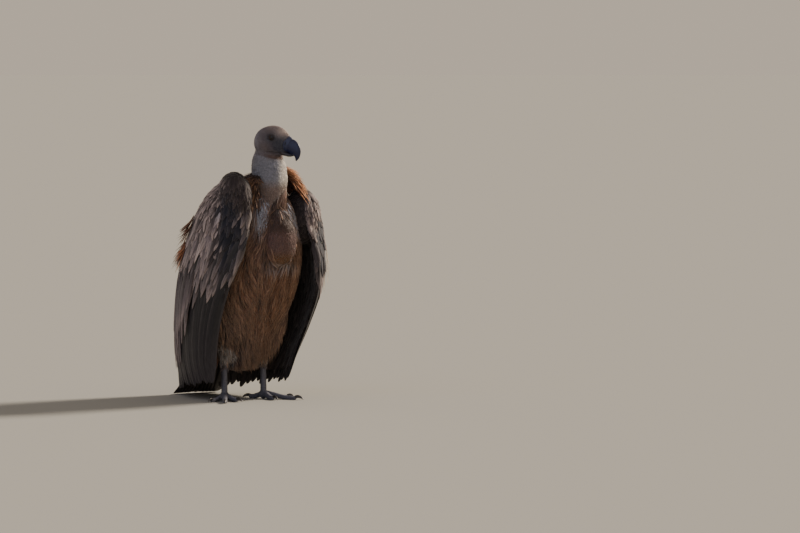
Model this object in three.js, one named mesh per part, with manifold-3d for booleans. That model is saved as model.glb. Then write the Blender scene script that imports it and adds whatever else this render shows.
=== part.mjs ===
// A young griffon vulture at life size, standing upright with its wings hanging closed like a cloak
// and its head turned a little to its left. It is a still model: every piece is fixed.
//
// Millimetres, +Z up. The bird faces -Y, so its left side is +X. While it is built, the origin lies on
// the floor midway between the two ankles; the last lines move the whole bird so that the origin lies
// under the middle of its bounding box.
//
// Each sub-part is one closed form. A form is made a hair larger (GAP) when it cuts its neighbour, so
// that the pieces meet without touching.

import * as THREE from "three";
import { mergeVertices } from "three/addons/utils/BufferGeometryUtils.js";
import Module from "manifold-3d";

const wasm = await Module();
wasm.setup();

// ---- Driving dimensions ------------------------------------------------------------------------

const GAP = 0.3; // clearance between neighbouring pieces
const SOFT_GAP = 4; // clearance of the trunk and mantle from the feathers that lie over them

const HEAD_TURN = 22; // degrees to the bird's left of straight ahead
const HEAD_DIP = 14; // degrees that the bill points below level
const SKULL_CENTRE = [5, -132, 663];
const EYE_RADIUS = 9;
const EYE_PLACE = { forward: 12.5, side: 20, up: 12 };

const LEG_SPREAD = 58; // each ankle's distance from the middle plane
const TOE_OUT = 30; // degrees that each foot points outwards
const SHOULDER_DROP = 46; // how much lower the left wrist hangs than the right one
const LEFT_WING_SPREAD = 16; // how much further the left wing bulges from the body

const FLIGHT_FEATHERS = 12; // flight feathers that show along the closed wing
const TAIL_FEATHERS = 7;
const COLUMNS_PER_FEATHER = 2;

// The trunk, from the vent up to the base of the neck, at evenly spaced stations.
const TRUNK = {
  path: {
    x: [0, 0, 0, 0, 0, 0, 0],
    y: [34, 14, -6, -38, -78, -108, -128],
    z: [66, 146, 226, 306, 386, 466, 546],
  },
  wide: [78, 96, 112, 120, 116, 100, 76],
  deep: [50, 76, 98, 112, 108, 88, 58],
  blunt: 0.5,
};

// The neck, from inside the trunk up into the head. It is drawn in, so it stands thick and short.
const NECK = {
  path: { x: [0, 0, 3, 5, 2], y: [-138, -140, -130, -113, -122], z: [468, 516, 558, 604, 686] },
  wide: [29, 35, 41, 45, 31],
  deep: [33, 41, 49, 53, 37],
  blunt: 0.42,
};

// The full crop bulges from the middle of the breast.
const CROP = {
  path: { x: [0, 0, 0, 0], y: [-168, -180, -180, -164], z: [354, 396, 442, 492] },
  wide: [38, 42, 37, 25],
  deep: [32, 38, 35, 24],
  blunt: 0.5,
};

// The skull, from the back of the head to the cere, in the head's own frame.
const SKULL = {
  from: -48,
  to: 60,
  up: [-8, -6, -3, -0.5, 3, 0],
  tall: [36, 41, 43, 41.5, 34.5, 26],
  wide: [28, 33, 33, 29, 20.5, 12],
  blunt: 0.5,
};

// The bill curves from the forehead down to its hooked tip; the lower one closes under it.
const BILL_UPPER = {
  forward: [36, 53, 68, 79, 84.5, 84],
  up: [4.5, 3.5, 0, -8, -19, -30],
  tall: [20.5, 19.5, 18.5, 14.5, 8, 1.8],
  wide: [14, 13, 11.5, 8.8, 5, 1.2],
  blunt: 0.12,
};
const BILL_LOWER = {
  forward: [34, 48, 61, 73],
  up: [-20.5, -20.5, -20.8, -19],
  tall: [8.5, 6.5, 4.8, 2.5],
  wide: [12.5, 10.5, 8, 3],
  blunt: 0.3,
};
const CERE_EDGE = 58; // the cere ends here, measured forwards in the head's frame
const CERE_SWELL = 0.8;

// The closed wing from the wrist to the feather tips: its front edge, its back edge, and how far its
// face stands out sideways between them. Stations are evenly spaced along the wing.
const WING = {
  front: {
    x: [96, 84, 106, 130, 132, 122, 110],
    y: [-140, -178, -184, -150, -98, -56, -36],
    z: [572, 500, 404, 308, 210, 120, 40],
  },
  back: {
    x: [92, 54, 36, 26, 24, 28, 34],
    y: [-100, 0, 98, 160, 188, 210, 236],
    z: [580, 536, 446, 334, 220, 112, 8],
  },
  outer: [112, 184, 204, 200, 186, 160, 124],
  thick: [16, 50, 42, 28, 17, 10, 5],
};
// The wrist: the round shoulder of the closed wing, with the leading edge tucked in front of it.
const WRIST = { centre: [100, -120, 516], radii: [44, 58, 73] };
const COVERTS_END = { front: 0.46, rise: 0.2, jag: 0.035, tips: 6 };
const FLIGHT_STEP = 3.5; // the flight feathers lie this far under the covert tips
const FLIGHT_INSET = 0.006; // and this share of the wing width inside its edges

// The tail runs down behind the legs and its end lies along the floor.
const TAIL = {
  y: [92, 132, 168, 202, 232, 256],
  z: [252, 180, 112, 54, 14, 2.4],
  wide: [26, 36, 46, 55, 62, 68],
  thick: [16, 11, 7, 5, 4, 3.4],
  arch: 10,
};

// The ruff is a collar round the back and sides of the neck, open over the crop. It stands highest
// against the neck and falls outwards over the shoulders.
const RUFF = {
  open: 58, // degrees left clear on each side of straight ahead
  centre: [2, -112],
  radius: [54, 80, 108], // at its brim, along its middle and at its foot
  height: [606, 568, 518],
  thick: [9, 24, 18],
  points: 9,
  rightDrop: 26, // the raised right shoulder presses it down on that side
};

// The mantle: the feathered back between the wings, from the ruff down to the root of the tail.
const MANTLE = {
  path: { x: [0, 0, 0, 0, 0], y: [-92, -30, 58, 118, 146], z: [556, 508, 424, 318, 216] },
  wide: [60, 70, 66, 50, 32],
  deep: [32, 54, 62, 56, 34],
  blunt: 0.5,
};

const THIGH = {
  path: { x: [70, 76, 70, 60], y: [0, -18, -12, 1], z: [262, 212, 168, 122] },
  wide: [34, 40, 30, 13],
  deep: [40, 46, 34, 14],
  blunt: 0.35,
};
const SHANK = {
  path: { x: [60, 58, 58, 58], y: [1, 3, 1, 0], z: [150, 100, 50, 4] },
  wide: [8.5, 7.8, 7.6, 9.5],
  deep: [9.5, 9, 8.6, 10],
  blunt: 0.25,
};
const SHANK_SPAN = [22.3, 122]; // the length that shows between the foot and the feathered thigh
const ANKLE = { radius: 12, height: 12 };
// Toes: turn from the foot's own direction (positive is outwards), length, and radius at root and tip.
const TOES = [
  { name: "inner", turn: -34, length: 58, root: 8.6, tip: 6.2, claw: 27 },
  { name: "middle", turn: 0, length: 96, root: 8.8, tip: 5.8, claw: 26 },
  { name: "outer", turn: 32, length: 66, root: 8, tip: 5.4, claw: 21 },
  { name: "hind", turn: 186, length: 40, root: 8, tip: 6.2, claw: 25 },
];
const PAD_FLAT = 1.6; // how much of each toe's underside is pressed flat on the floor

// ---- Helpers -----------------------------------------------------------------------------------

const degrees = THREE.MathUtils.degToRad;

// A smooth curve (uniform Catmull-Rom) through evenly spaced values, read at t from 0 to 1.
function through(values, t) {
  const last = values.length - 1;
  const i = Math.max(Math.min(Math.floor(t * last), last - 1), 0);
  const f = t * last - i;
  const b = values[i];
  const c = values[i + 1];
  const a = i > 0 ? values[i - 1] : 2 * b - c;
  const d = i + 2 <= last ? values[i + 2] : 2 * c - b;
  return b + 0.5 * f * (c - a + f * (2 * a - 5 * b + 4 * c - d + f * (3 * (b - c) + d - a)));
}

const pathPoint = (path, t) => new THREE.Vector3(through(path.x, t), through(path.y, t), through(path.z, t));

function solidFrom(geometry) {
  geometry.deleteAttribute("normal");
  geometry.deleteAttribute("uv");
  const merged = mergeVertices(geometry, 1e-4);
  const triVerts = new Uint32Array(merged.index.array);
  const vertProperties = merged.attributes.position.array;
  const made = new wasm.Manifold(new wasm.Mesh({ numProp: 3, vertProperties, triVerts }));
  if (made.volume() > 0) return made;
  for (let i = 0; i < triVerts.length; i += 3) {
    [triVerts[i], triVerts[i + 1]] = [triVerts[i + 1], triVerts[i]];
  }
  return new wasm.Manifold(new wasm.Mesh({ numProp: 3, vertProperties, triVerts }));
}

function indexed(points, faces) {
  const geometry = new THREE.BufferGeometry().setFromPoints(points);
  geometry.setIndex(faces);
  return geometry;
}

// A closed form: rings of `around` points at `along` + 1 steps, where the first and last close to a point.
function closedForm(around, along, pointAt) {
  const points = [pointAt(0, 0)];
  for (let j = 1; j < along; j++) {
    for (let i = 0; i < around; i++) points.push(pointAt(i / around, j / along));
  }
  points.push(pointAt(0, 1));
  const at = (i, j) => 1 + (j - 1) * around + (i % around);
  const end = points.length - 1;
  const faces = [];
  for (let i = 0; i < around; i++) {
    faces.push(0, at(i + 1, 1), at(i, 1));
    faces.push(end, at(i, along - 1), at(i + 1, along - 1));
    for (let j = 1; j < along - 1; j++) {
      faces.push(at(i, j), at(i + 1, j), at(i + 1, j + 1));
      faces.push(at(i, j), at(i + 1, j + 1), at(i, j + 1));
    }
  }
  return solidFrom(indexed(points, faces));
}

// A limb: an oval section carried along a path. `blunt` rounds its two ends, from 0 (flat) to 1 (egg).
function limb(form, { side = [1, 0, 0], mirror = 1, grow = 0, around, along }) {
  const across = new THREE.Vector3(...side);
  return closedForm(around, along, (u, v) => {
    const t = (1 - Math.cos(Math.PI * v)) / 2;
    const centre = pathPoint(form.path, t);
    const before = pathPoint(form.path, Math.max(t - 0.01, 0));
    const ahead = pathPoint(form.path, Math.min(t + 0.01, 1)).sub(before);
    const deepWay = new THREE.Vector3().crossVectors(ahead.normalize(), across).normalize();
    const close = Math.pow(Math.max(Math.sin(Math.PI * v), 0), form.blunt);
    const angle = 2 * Math.PI * u;
    const round = v === 0 || v === 1 ? 0 : 1;
    centre.addScaledVector(across, round * Math.cos(angle) * (through(form.wide, t) * close + grow));
    centre.addScaledVector(deepWay, round * Math.sin(angle) * (through(form.deep, t) * close + grow));
    if (!round) centre.addScaledVector(ahead, v === 0 ? -grow : grow);
    centre.x *= mirror;
    return centre;
  });
}

// A plate: a curved face given by faceAt(c, v), with an inner face `thickAt` behind it and walls round.
function plate(columns, rows, faceAt, thickAt, inwards, grow = 0) {
  const step = 1e-3;
  const normalAt = (c, v) => {
    const c1 = Math.min(c + step, 1);
    const v1 = Math.min(v + step, 1);
    const alongC = faceAt(c1, v).sub(faceAt(c1 - step, v));
    const alongV = faceAt(c, v1).sub(faceAt(c, v1 - step));
    return new THREE.Vector3().crossVectors(alongC, alongV).normalize().multiplyScalar(inwards);
  };
  const points = [];
  for (let face = 0; face < 2; face++)
    for (let j = 0; j <= rows; j++)
      for (let i = 0; i <= columns; i++) {
        const c = i / columns;
        const v = j / rows;
        const depth = face ? thickAt(c, v) + grow : -grow;
        points.push(faceAt(c, v).addScaledVector(normalAt(c, v), depth));
      }
  const at = (i, j, face) => face * (rows + 1) * (columns + 1) + j * (columns + 1) + i;
  const faces = [];
  const quad = (a, b, c, d) => faces.push(a, b, c, a, c, d);
  for (let j = 0; j < rows; j++)
    for (let i = 0; i < columns; i++) {
      quad(at(i, j, 0), at(i + 1, j, 0), at(i + 1, j + 1, 0), at(i, j + 1, 0));
      quad(at(i, j, 1), at(i, j + 1, 1), at(i + 1, j + 1, 1), at(i + 1, j, 1));
    }
  for (let i = 0; i < columns; i++) {
    quad(at(i, 0, 0), at(i, 0, 1), at(i + 1, 0, 1), at(i + 1, 0, 0));
    quad(at(i, rows, 0), at(i + 1, rows, 0), at(i + 1, rows, 1), at(i, rows, 1));
  }
  for (let j = 0; j < rows; j++) {
    quad(at(0, j, 0), at(0, j + 1, 0), at(0, j + 1, 1), at(0, j, 1));
    quad(at(columns, j, 0), at(columns, j, 1), at(columns, j + 1, 1), at(columns, j + 1, 0));
  }
  return solidFrom(indexed(points, faces));
}

// The largest of the bodies that a cut leaves; the crumbs are dropped.
function largest(solid) {
  const bodies = solid.decompose();
  return bodies.reduce((best, body) => (body.volume() > best.volume() ? body : best));
}

const cut = (solid, ...others) => largest(others.reduce((left, other) => left.subtract(other), solid));

function box(low, high) {
  const geometry = new THREE.BoxGeometry(high[0] - low[0], high[1] - low[1], high[2] - low[2]);
  geometry.translate((low[0] + high[0]) / 2, (low[1] + high[1]) / 2, (low[2] + high[2]) / 2);
  return solidFrom(geometry);
}

const between = (solid, low, high) => largest(solid.intersect(box([-600, -600, low], [600, 600, high])));
const aboveFloor = (solid) => between(solid, 0, 900);

// ---- Head --------------------------------------------------------------------------------------

const headForward = new THREE.Vector3(
  Math.sin(degrees(HEAD_TURN)) * Math.cos(degrees(HEAD_DIP)),
  -Math.cos(degrees(HEAD_TURN)) * Math.cos(degrees(HEAD_DIP)),
  -Math.sin(degrees(HEAD_DIP)),
);
const headLeft = new THREE.Vector3(Math.cos(degrees(HEAD_TURN)), Math.sin(degrees(HEAD_TURN)), 0);
const headUp = new THREE.Vector3().crossVectors(headLeft, headForward).negate();
const headFrame = new THREE.Matrix4()
  .makeBasis(headForward, headLeft, headUp)
  .setPosition(...SKULL_CENTRE);

const inHead = (forward, left, up) => new THREE.Vector3(forward, left, up).applyMatrix4(headFrame);

// A soft round swelling (or, below 0, a hollow) of the skull at one place on each side.
function swelling(forward, up, place) {
  const off = ((forward - place.forward) / place.long) ** 2 + ((up - place.up) / place.tall) ** 2;
  return place.height * Math.exp(-off);
}
const BROW = { forward: 16.5, up: 19, long: 17, tall: 6, height: 3 };
const SOCKET = { forward: 12.5, up: 11, long: 11, tall: 9, height: -3 };
const CHEEK = { forward: 0.5, up: -16, long: 20, tall: 13, height: 2.2 };

function skullForm(grow = 0) {
  return closedForm(18, 12, (u, v) => {
    const t = (1 - Math.cos(Math.PI * v)) / 2;
    const close = Math.pow(Math.max(Math.sin(Math.PI * v), 0), SKULL.blunt);
    const angle = 2 * Math.PI * u;
    const forward = THREE.MathUtils.lerp(SKULL.from - grow, SKULL.to + grow, t);
    if (v === 0 || v === 1) return inHead(forward, 0, through(SKULL.up, t));
    const up = through(SKULL.up, t) + Math.sin(angle) * (through(SKULL.tall, t) * close + grow);
    const relief = [BROW, SOCKET, CHEEK].reduce((sum, place) => sum + swelling(forward, up, place), 0);
    const side = Math.cos(angle) * (through(SKULL.wide, t) * close + grow + relief * close);
    return inHead(forward, side, up);
  });
}

function billForm(bill, grow = 0, around = 12, along = 10) {
  return closedForm(around, along, (u, v) => {
    const t = (1 - Math.cos(Math.PI * v)) / 2;
    const close = Math.pow(Math.max(Math.sin(Math.PI * v), 0), bill.blunt);
    const before = Math.max(t - 0.01, 0);
    const after = Math.min(t + 0.01, 1);
    const rise = through(bill.up, after) - through(bill.up, before);
    const run = through(bill.forward, after) - through(bill.forward, before);
    const slope = Math.atan2(rise, run);
    const round = v === 0 || v === 1 ? 0 : 1;
    const angle = 2 * Math.PI * u;
    const tall = round * Math.sin(angle) * (through(bill.tall, t) * close + grow);
    const side = round * Math.cos(angle) * (through(bill.wide, t) * close + grow);
    const forward = through(bill.forward, t) - Math.sin(slope) * tall;
    return inHead(forward, side, through(bill.up, t) + Math.cos(slope) * tall);
  });
}

// A block in the head's frame, used to part the bill from its cere.
function headBlock(fromForward, toForward) {
  const geometry = new THREE.BoxGeometry(toForward - fromForward, 120, 160);
  geometry.translate((fromForward + toForward) / 2, 0, 0);
  return solidFrom(geometry.applyMatrix4(headFrame));
}

function eyeForm(side, grow = 0) {
  const geometry = new THREE.SphereGeometry(EYE_RADIUS + grow, 10, 7);
  const place = inHead(EYE_PLACE.forward, side * EYE_PLACE.side, EYE_PLACE.up);
  return solidFrom(geometry.translate(place.x, place.y, place.z));
}

function nostrilForm(side) {
  const geometry = new THREE.SphereGeometry(1, 8, 6).scale(1.9, 3.2, 4.4);
  geometry.translate(50, side * 12.6, 7);
  return solidFrom(geometry.applyMatrix4(headFrame));
}

const billBlank = billForm(BILL_UPPER);
const cereBlank = billForm(BILL_UPPER, CERE_SWELL);
const billUpper = largest(billBlank.intersect(headBlock(CERE_EDGE + GAP, 140)));
const cere = cut(cereBlank.intersect(headBlock(0, CERE_EDGE)), nostrilForm(1), nostrilForm(-1));
const billLower = cut(billForm(BILL_LOWER, 0, 8, 7), billForm(BILL_UPPER, CERE_SWELL + GAP));
const eyeRight = eyeForm(-1);
const eyeLeft = eyeForm(1);
const head = cut(
  skullForm(),
  eyeForm(-1, GAP),
  eyeForm(1, GAP),
  billForm(BILL_UPPER, CERE_SWELL + GAP),
  billForm(BILL_LOWER, GAP, 8, 7),
);

// ---- Wings -------------------------------------------------------------------------------------

// The wing's face at c (0 at the front edge, 1 at the back edge) and v (0 at the wrist, 1 at the tips):
// at each v it is one cubic Bezier curve that bulges out to WING.outer.
function wingFace(side, c, v) {
  const drop = side > 0 ? SHOULDER_DROP * (1 - v) : 0;
  const front = pathPoint(WING.front, v);
  const back = pathPoint(WING.back, v);
  const outer = through(WING.outer, v) + (side > 0 ? LEFT_WING_SPREAD * Math.sin(Math.PI * v) : 0);
  const near = new THREE.Vector3().lerpVectors(front, back, 0.18).setX(outer);
  const far = new THREE.Vector3().lerpVectors(front, back, 0.86).setX(outer);
  const point = new THREE.CubicBezierCurve3(front, near, far, back).getPoint(c);
  return new THREE.Vector3(side * point.x, point.y, point.z - drop);
}

// The wing is 3 mm thick at its front and back edges and swells to WING.thick between them.
const WING_EDGE = 3;
function wingThick(c, v) {
  const swell = Math.sqrt(Math.sin(Math.PI * THREE.MathUtils.clamp(c, 0.02, 0.98)));
  return WING_EDGE + (through(WING.thick, v) - WING_EDGE) * swell;
}

// How far down the wing the coverts reach: a jagged line that falls towards the back edge.
const sawtooth = (x) => Math.abs(((x % 1) + 1) % 1 - 0.5) * 2;
function covertsEnd(c) {
  const jag = COVERTS_END.jag * (sawtooth(COVERTS_END.tips * c) - 0.5);
  return COVERTS_END.front + COVERTS_END.rise * c + jag;
}

// Flight feathers: each one is a low ridge, and its rounded tip shows in the wing's lower edge.
const featherRidge = (c, count) => Math.abs(Math.sin(Math.PI * count * c));

function wristForm(side, grow = 0) {
  const [x, y, z] = WRIST.centre;
  const geometry = new THREE.SphereGeometry(1, 10, 8).scale(...WRIST.radii.map((radius) => radius + grow));
  return solidFrom(geometry.translate(side * x, y, z - (side > 0 ? SHOULDER_DROP : 0)));
}

function covertsForm(side, grow = 0) {
  const reach = (c, v) => THREE.MathUtils.lerp(0.04, covertsEnd(c) - 0.0015 + grow * 0.003, v);
  return plate(
    2 * COVERTS_END.tips, 7,
    (c, v) => wingFace(side, c, reach(c, v)),
    (c, v) => wingThick(c, reach(c, v)),
    side, grow,
  ).add(wristForm(side, grow));
}

function flightForm(side, grow = 0) {
  const reach = (c, v) => {
    const start = covertsEnd(c);
    const end = 1 - 0.03 * (1 - featherRidge(c, FLIGHT_FEATHERS));
    return THREE.MathUtils.lerp(start, end, v);
  };
  const inset = (c) => FLIGHT_STEP - 1.6 * featherRidge(c, FLIGHT_FEATHERS);
  return plate(
    COLUMNS_PER_FEATHER * FLIGHT_FEATHERS, 3,
    (c, v) => {
      const point = wingFace(side, THREE.MathUtils.lerp(FLIGHT_INSET, 1 - FLIGHT_INSET, c), reach(c, v));
      point.x -= side * inset(c);
      return point;
    },
    (c, v) => Math.max(wingThick(c, reach(c, v)) - FLIGHT_STEP, 2.4),
    side, grow,
  );
}

// A plain, slightly larger wing that cuts the softer pieces which lie against its inner side.
function wingCutter(side) {
  const wider = (c) => THREE.MathUtils.lerp(-0.025, 1.025, c);
  const face = (c, v) => wingFace(side, wider(c), THREE.MathUtils.lerp(0.03, 1.01, v));
  return plate(8, 9, face, wingThick, side, SOFT_GAP).add(wristForm(side, SOFT_GAP));
}

// ---- Ruff, tail --------------------------------------------------------------------------------

// The ruff is a collar that is open at the throat, with pointed tips at its brim. With `grow`, it is a
// plain and slightly larger collar that cuts its neighbours.
function ruffForm(grow = 0) {
  const sweep = 360 - 2 * RUFF.open + grow;
  return plate(
    grow ? 10 : 2 * RUFF.points, grow ? 2 : 3,
    (c, v) => {
      const angle = degrees(-90 + RUFF.open - grow / 2 + sweep * c);
      const point = 1 - 0.14 * (1 - featherRidge(c, RUFF.points));
      const t = grow ? THREE.MathUtils.lerp(-0.1, 1.15, v) : 0.5 + (v - 0.5) * point;
      const out = through(RUFF.radius, t);
      return new THREE.Vector3(
        RUFF.centre[0] + out * Math.cos(angle),
        RUFF.centre[1] + out * Math.sin(angle) * 0.9,
        through(RUFF.height, t) - RUFF.rightDrop * (1 - Math.cos(angle)) / 2,
      );
    },
    (c, v) => through(RUFF.thick, v),
    -1, grow,
  );
}

// With `grow`, a plain and slightly larger tail that cuts its neighbours.
function tailForm(grow = 0) {
  return plate(
    grow ? 6 : COLUMNS_PER_FEATHER * TAIL_FEATHERS, 4,
    (c, v) => {
      const tip = 1 - 0.03 * (1 - featherRidge(c, TAIL_FEATHERS));
      const reach = grow ? THREE.MathUtils.lerp(-0.05, 1, v) : v * tip;
      const across = 2 * c - 1;
      const arch = TAIL.arch * across * across * Math.sin(Math.PI * Math.min(v + 0.15, 1));
      const ridge = 1.2 * featherRidge(c, TAIL_FEATHERS);
      return new THREE.Vector3(
        across * through(TAIL.wide, v),
        through(TAIL.y, reach) - arch * 0.5,
        through(TAIL.z, reach) + ridge * (1 - v) - arch * 0.4,
      );
    },
    (c, v) => through(TAIL.thick, v),
    -1, grow,
  );
}

// ---- Legs --------------------------------------------------------------------------------------

// The direction on the floor of a toe that turns `turn` degrees outwards from the foot's own line.
function toeWay(side, turn) {
  const angle = degrees(TOE_OUT + turn);
  return new THREE.Vector3(side * Math.sin(angle), -Math.cos(angle), 0);
}

function toeForm(side, toe) {
  const way = toeWay(side, toe.turn);
  const across = new THREE.Vector3(-way.y, way.x, 0);
  const ankle = new THREE.Vector3(side * LEG_SPREAD, 0, 0);
  const at = (reach, high) => ankle.clone().addScaledVector(way, reach).setZ(high);
  const joints = [
    at(0, 15),
    at(toe.length * 0.34, toe.root + 1),
    at(toe.length * 0.68, toe.tip - PAD_FLAT / 2),
    at(toe.length, toe.tip - PAD_FLAT),
  ];
  return limb(
    {
      path: { x: joints.map((p) => p.x), y: joints.map((p) => p.y), z: joints.map((p) => p.z) },
      wide: [toe.root, toe.root, toe.tip + 0.8, toe.tip],
      deep: [toe.root + 1, toe.root, toe.tip + 0.4, toe.tip],
      blunt: 0.35,
    },
    { side: across.toArray(), around: 8, along: 5 },
  );
}

function clawForm(side, toe, grow = 0) {
  const way = toeWay(side, toe.turn);
  const across = new THREE.Vector3(-way.y, way.x, 0);
  const ankle = new THREE.Vector3(side * LEG_SPREAD, 0, 0);
  const start = toe.length - 6;
  const at = (reach, high) => ankle.clone().addScaledVector(way, start + reach).setZ(high);
  const bend = [at(0, 7.2), at(toe.claw * 0.4, 8.8), at(toe.claw * 0.76, 6.2), at(toe.claw * 0.98, 1.5)];
  return limb(
    {
      path: { x: bend.map((p) => p.x), y: bend.map((p) => p.y), z: bend.map((p) => p.z) },
      wide: [3.6, 3.3, 2.3, 0.8],
      deep: [4.2, 3.9, 2.6, 0.9],
      blunt: 0.2,
    },
    { side: across.toArray(), grow, around: 6, along: 6 },
  );
}

function footForm(side) {
  const ankle = new THREE.SphereGeometry(ANKLE.radius, 8, 6).rotateX(Math.PI / 2);
  const foot = solidFrom(ankle.translate(side * LEG_SPREAD, 0, ANKLE.height));
  return TOES.reduce((whole, toe) => whole.add(toeForm(side, toe)), foot);
}

// ---- Cutting the forms to meet -----------------------------------------------------------------

const FORM_DETAIL = {
  trunk: { around: 18, along: 10 },
  neck: { around: 14, along: 8 },
  crop: { around: 12, along: 8 },
  mantle: { around: 12, along: 7 },
  thigh: { around: 10, along: 7 },
  shank: { around: 8, along: 6 },
};

const solids = new Map();
solids.set("eye_right", eyeRight);
solids.set("eye_left", eyeLeft);
solids.set("bill_upper", billUpper);
solids.set("bill_lower", billLower);
solids.set("cere", cere);
solids.set("head", head);

const neckCutters = [skullForm(GAP), billForm(BILL_LOWER, GAP, 8, 7)];
solids.set("neck", cut(limb(NECK, FORM_DETAIL.neck), ...neckCutters));
const neckGrown = limb(NECK, { ...FORM_DETAIL.neck, grow: GAP });
solids.set("crop", cut(limb(CROP, FORM_DETAIL.crop), neckGrown));
const cropGrown = limb(CROP, { ...FORM_DETAIL.crop, grow: GAP });

const wingCutters = [];
for (const [name, side] of [["right", -1], ["left", 1]]) {
  solids.set(`wing_${name}_coverts`, covertsForm(side));
  solids.set(`wing_${name}_flight`, cut(aboveFloor(flightForm(side)), covertsForm(side, GAP)));
  wingCutters.push(wingCutter(side));
}

const legCutters = [];
for (const [name, side] of [["right", -1], ["left", 1]]) {
  const claws = TOES.map((toe) => clawForm(side, toe, GAP));
  for (const toe of TOES) solids.set(`claw_${name}_${toe.name}`, aboveFloor(clawForm(side, toe)));
  solids.set(`foot_${name}`, cut(between(footForm(side), 0, SHANK_SPAN[0] - GAP), ...claws));
  solids.set(`shank_${name}`, between(limb(SHANK, { ...FORM_DETAIL.shank, mirror: side }), ...SHANK_SPAN));
  const shankGrown = limb(SHANK, { ...FORM_DETAIL.shank, mirror: side, grow: GAP });
  solids.set(`thigh_${name}`, cut(limb(THIGH, { ...FORM_DETAIL.thigh, mirror: side }), ...wingCutters));
  legCutters.push(shankGrown, limb(THIGH, { ...FORM_DETAIL.thigh, mirror: side, grow: GAP }));
}

solids.set("tail", cut(aboveFloor(tailForm()), ...wingCutters));
solids.set("ruff", cut(ruffForm(), neckGrown, ...wingCutters));
const backCutters = [neckGrown, tailForm(SOFT_GAP), ruffForm(SOFT_GAP)];
const wristCutters = [wristForm(-1, SOFT_GAP), wristForm(1, SOFT_GAP)];
const mantleCutters = [...backCutters, ...wingCutters];
const trunkCutters = [...backCutters, cropGrown, ...wristCutters, ...legCutters];
solids.set("mantle", cut(limb(MANTLE, FORM_DETAIL.mantle), ...mantleCutters));
const mantleGrown = limb(MANTLE, { ...FORM_DETAIL.mantle, grow: GAP });
solids.set("trunk", cut(limb(TRUNK, FORM_DETAIL.trunk), mantleGrown, ...trunkCutters));

// ---- Materials and the group -------------------------------------------------------------------

function finish(color, roughness, metalness = 0) {
  return new THREE.MeshStandardMaterial({ color, roughness, metalness });
}
const MATERIALS = {
  down: finish(0xb9aea2, 0.9),
  crop: finish(0x6b4a38, 0.85),
  breast: finish(0x8a5f3c, 0.85),
  ruff: finish(0xa5673d, 0.85),
  coverts: finish(0x75645a, 0.8),
  flight: finish(0x2e2a2b, 0.65),
  horn: finish(0x23252d, 0.35),
  cere: finish(0x2f3138, 0.5),
  skin: finish(0x77757a, 0.6),
  claw: finish(0x2b2827, 0.4),
  eye: finish(0x1c100b, 0.05),
};
const MATERIAL_OF = [
  ["eye_", "eye"], ["bill_", "horn"], ["cere", "cere"], ["head", "down"], ["neck", "down"],
  ["crop", "crop"], ["ruff", "ruff"], ["claw_", "claw"], ["foot_", "skin"], ["shank_", "skin"],
  ["thigh_", "breast"], ["trunk", "breast"], ["tail", "flight"], ["mantle", "coverts"],
  ["wing_right_coverts", "coverts"], ["wing_left_coverts", "coverts"], ["wing_", "flight"],
];

function meshOf(name, solid) {
  const made = solid.getMesh();
  const position = new Float32Array(made.numVert * 3);
  for (let i = 0; i < made.numVert; i++) {
    position.set(made.vertProperties.subarray(i * made.numProp, i * made.numProp + 3), i * 3);
  }
  const geometry = new THREE.BufferGeometry();
  geometry.setAttribute("position", new THREE.BufferAttribute(position, 3));
  geometry.setIndex(new THREE.BufferAttribute(made.triVerts, 1));
  geometry.computeVertexNormals();
  const [, material] = MATERIAL_OF.find(([start]) => name.startsWith(start));
  const mesh = new THREE.Mesh(geometry, MATERIALS[material]);
  mesh.name = name;
  return mesh;
}

const bird = new THREE.Group();
for (const [name, solid] of solids) bird.add(meshOf(name, solid));

const bounds = new THREE.Box3().setFromObject(bird);
const middle = bounds.getCenter(new THREE.Vector3());
bird.position.set(-middle.x, -middle.y, -bounds.min.z);

export default bird;
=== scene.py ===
# %% [markdown]
# # A young griffon vulture at life size
#
# The bird stands upright on flat feet. Its wings hang closed like a cloak, its crop is full, and its head is
# turned a little to its left. It is a still model, so nothing here moves.
#
# The solids made before this lesson give every true size. Here they get their looks: one skin over the whole
# body, then bill, eyes and claws, and then feathers, tract by tract, as thin closed meshes.

# %% Loading the frame
import bpy
import numpy as np
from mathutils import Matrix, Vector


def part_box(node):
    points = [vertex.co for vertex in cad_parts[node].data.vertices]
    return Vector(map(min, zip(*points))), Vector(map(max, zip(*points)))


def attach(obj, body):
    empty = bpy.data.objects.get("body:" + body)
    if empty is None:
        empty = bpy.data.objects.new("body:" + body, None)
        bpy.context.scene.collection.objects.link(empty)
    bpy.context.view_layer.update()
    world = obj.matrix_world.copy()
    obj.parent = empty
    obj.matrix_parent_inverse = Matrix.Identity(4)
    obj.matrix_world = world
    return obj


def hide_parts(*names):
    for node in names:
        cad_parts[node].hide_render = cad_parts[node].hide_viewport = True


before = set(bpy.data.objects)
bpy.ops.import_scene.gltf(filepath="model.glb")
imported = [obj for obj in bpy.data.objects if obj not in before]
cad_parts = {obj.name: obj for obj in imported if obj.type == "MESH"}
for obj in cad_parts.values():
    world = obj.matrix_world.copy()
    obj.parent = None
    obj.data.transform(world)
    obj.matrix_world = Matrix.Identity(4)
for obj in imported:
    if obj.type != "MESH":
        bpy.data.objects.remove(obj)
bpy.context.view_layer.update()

# %% [markdown]
# ## The bird's own frame
#
# A bird is easiest to describe in millimetres from the floor between its ankles, with its left at +X and its
# front at -Y. The head has a frame of its own, turned and dipped. The middles of the eyes are known in both
# frames, so they say how far the bird's frame lies from the model's.

# %% Frames
MM = 0.001
HEAD_TURN = np.radians(22)
HEAD_DIP = np.radians(14)
SKULL_CENTRE = np.array([5.0, -132.0, 663.0])
EYE = dict(forward=12.5, side=20.0, up=12.0, radius=9.0)

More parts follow.
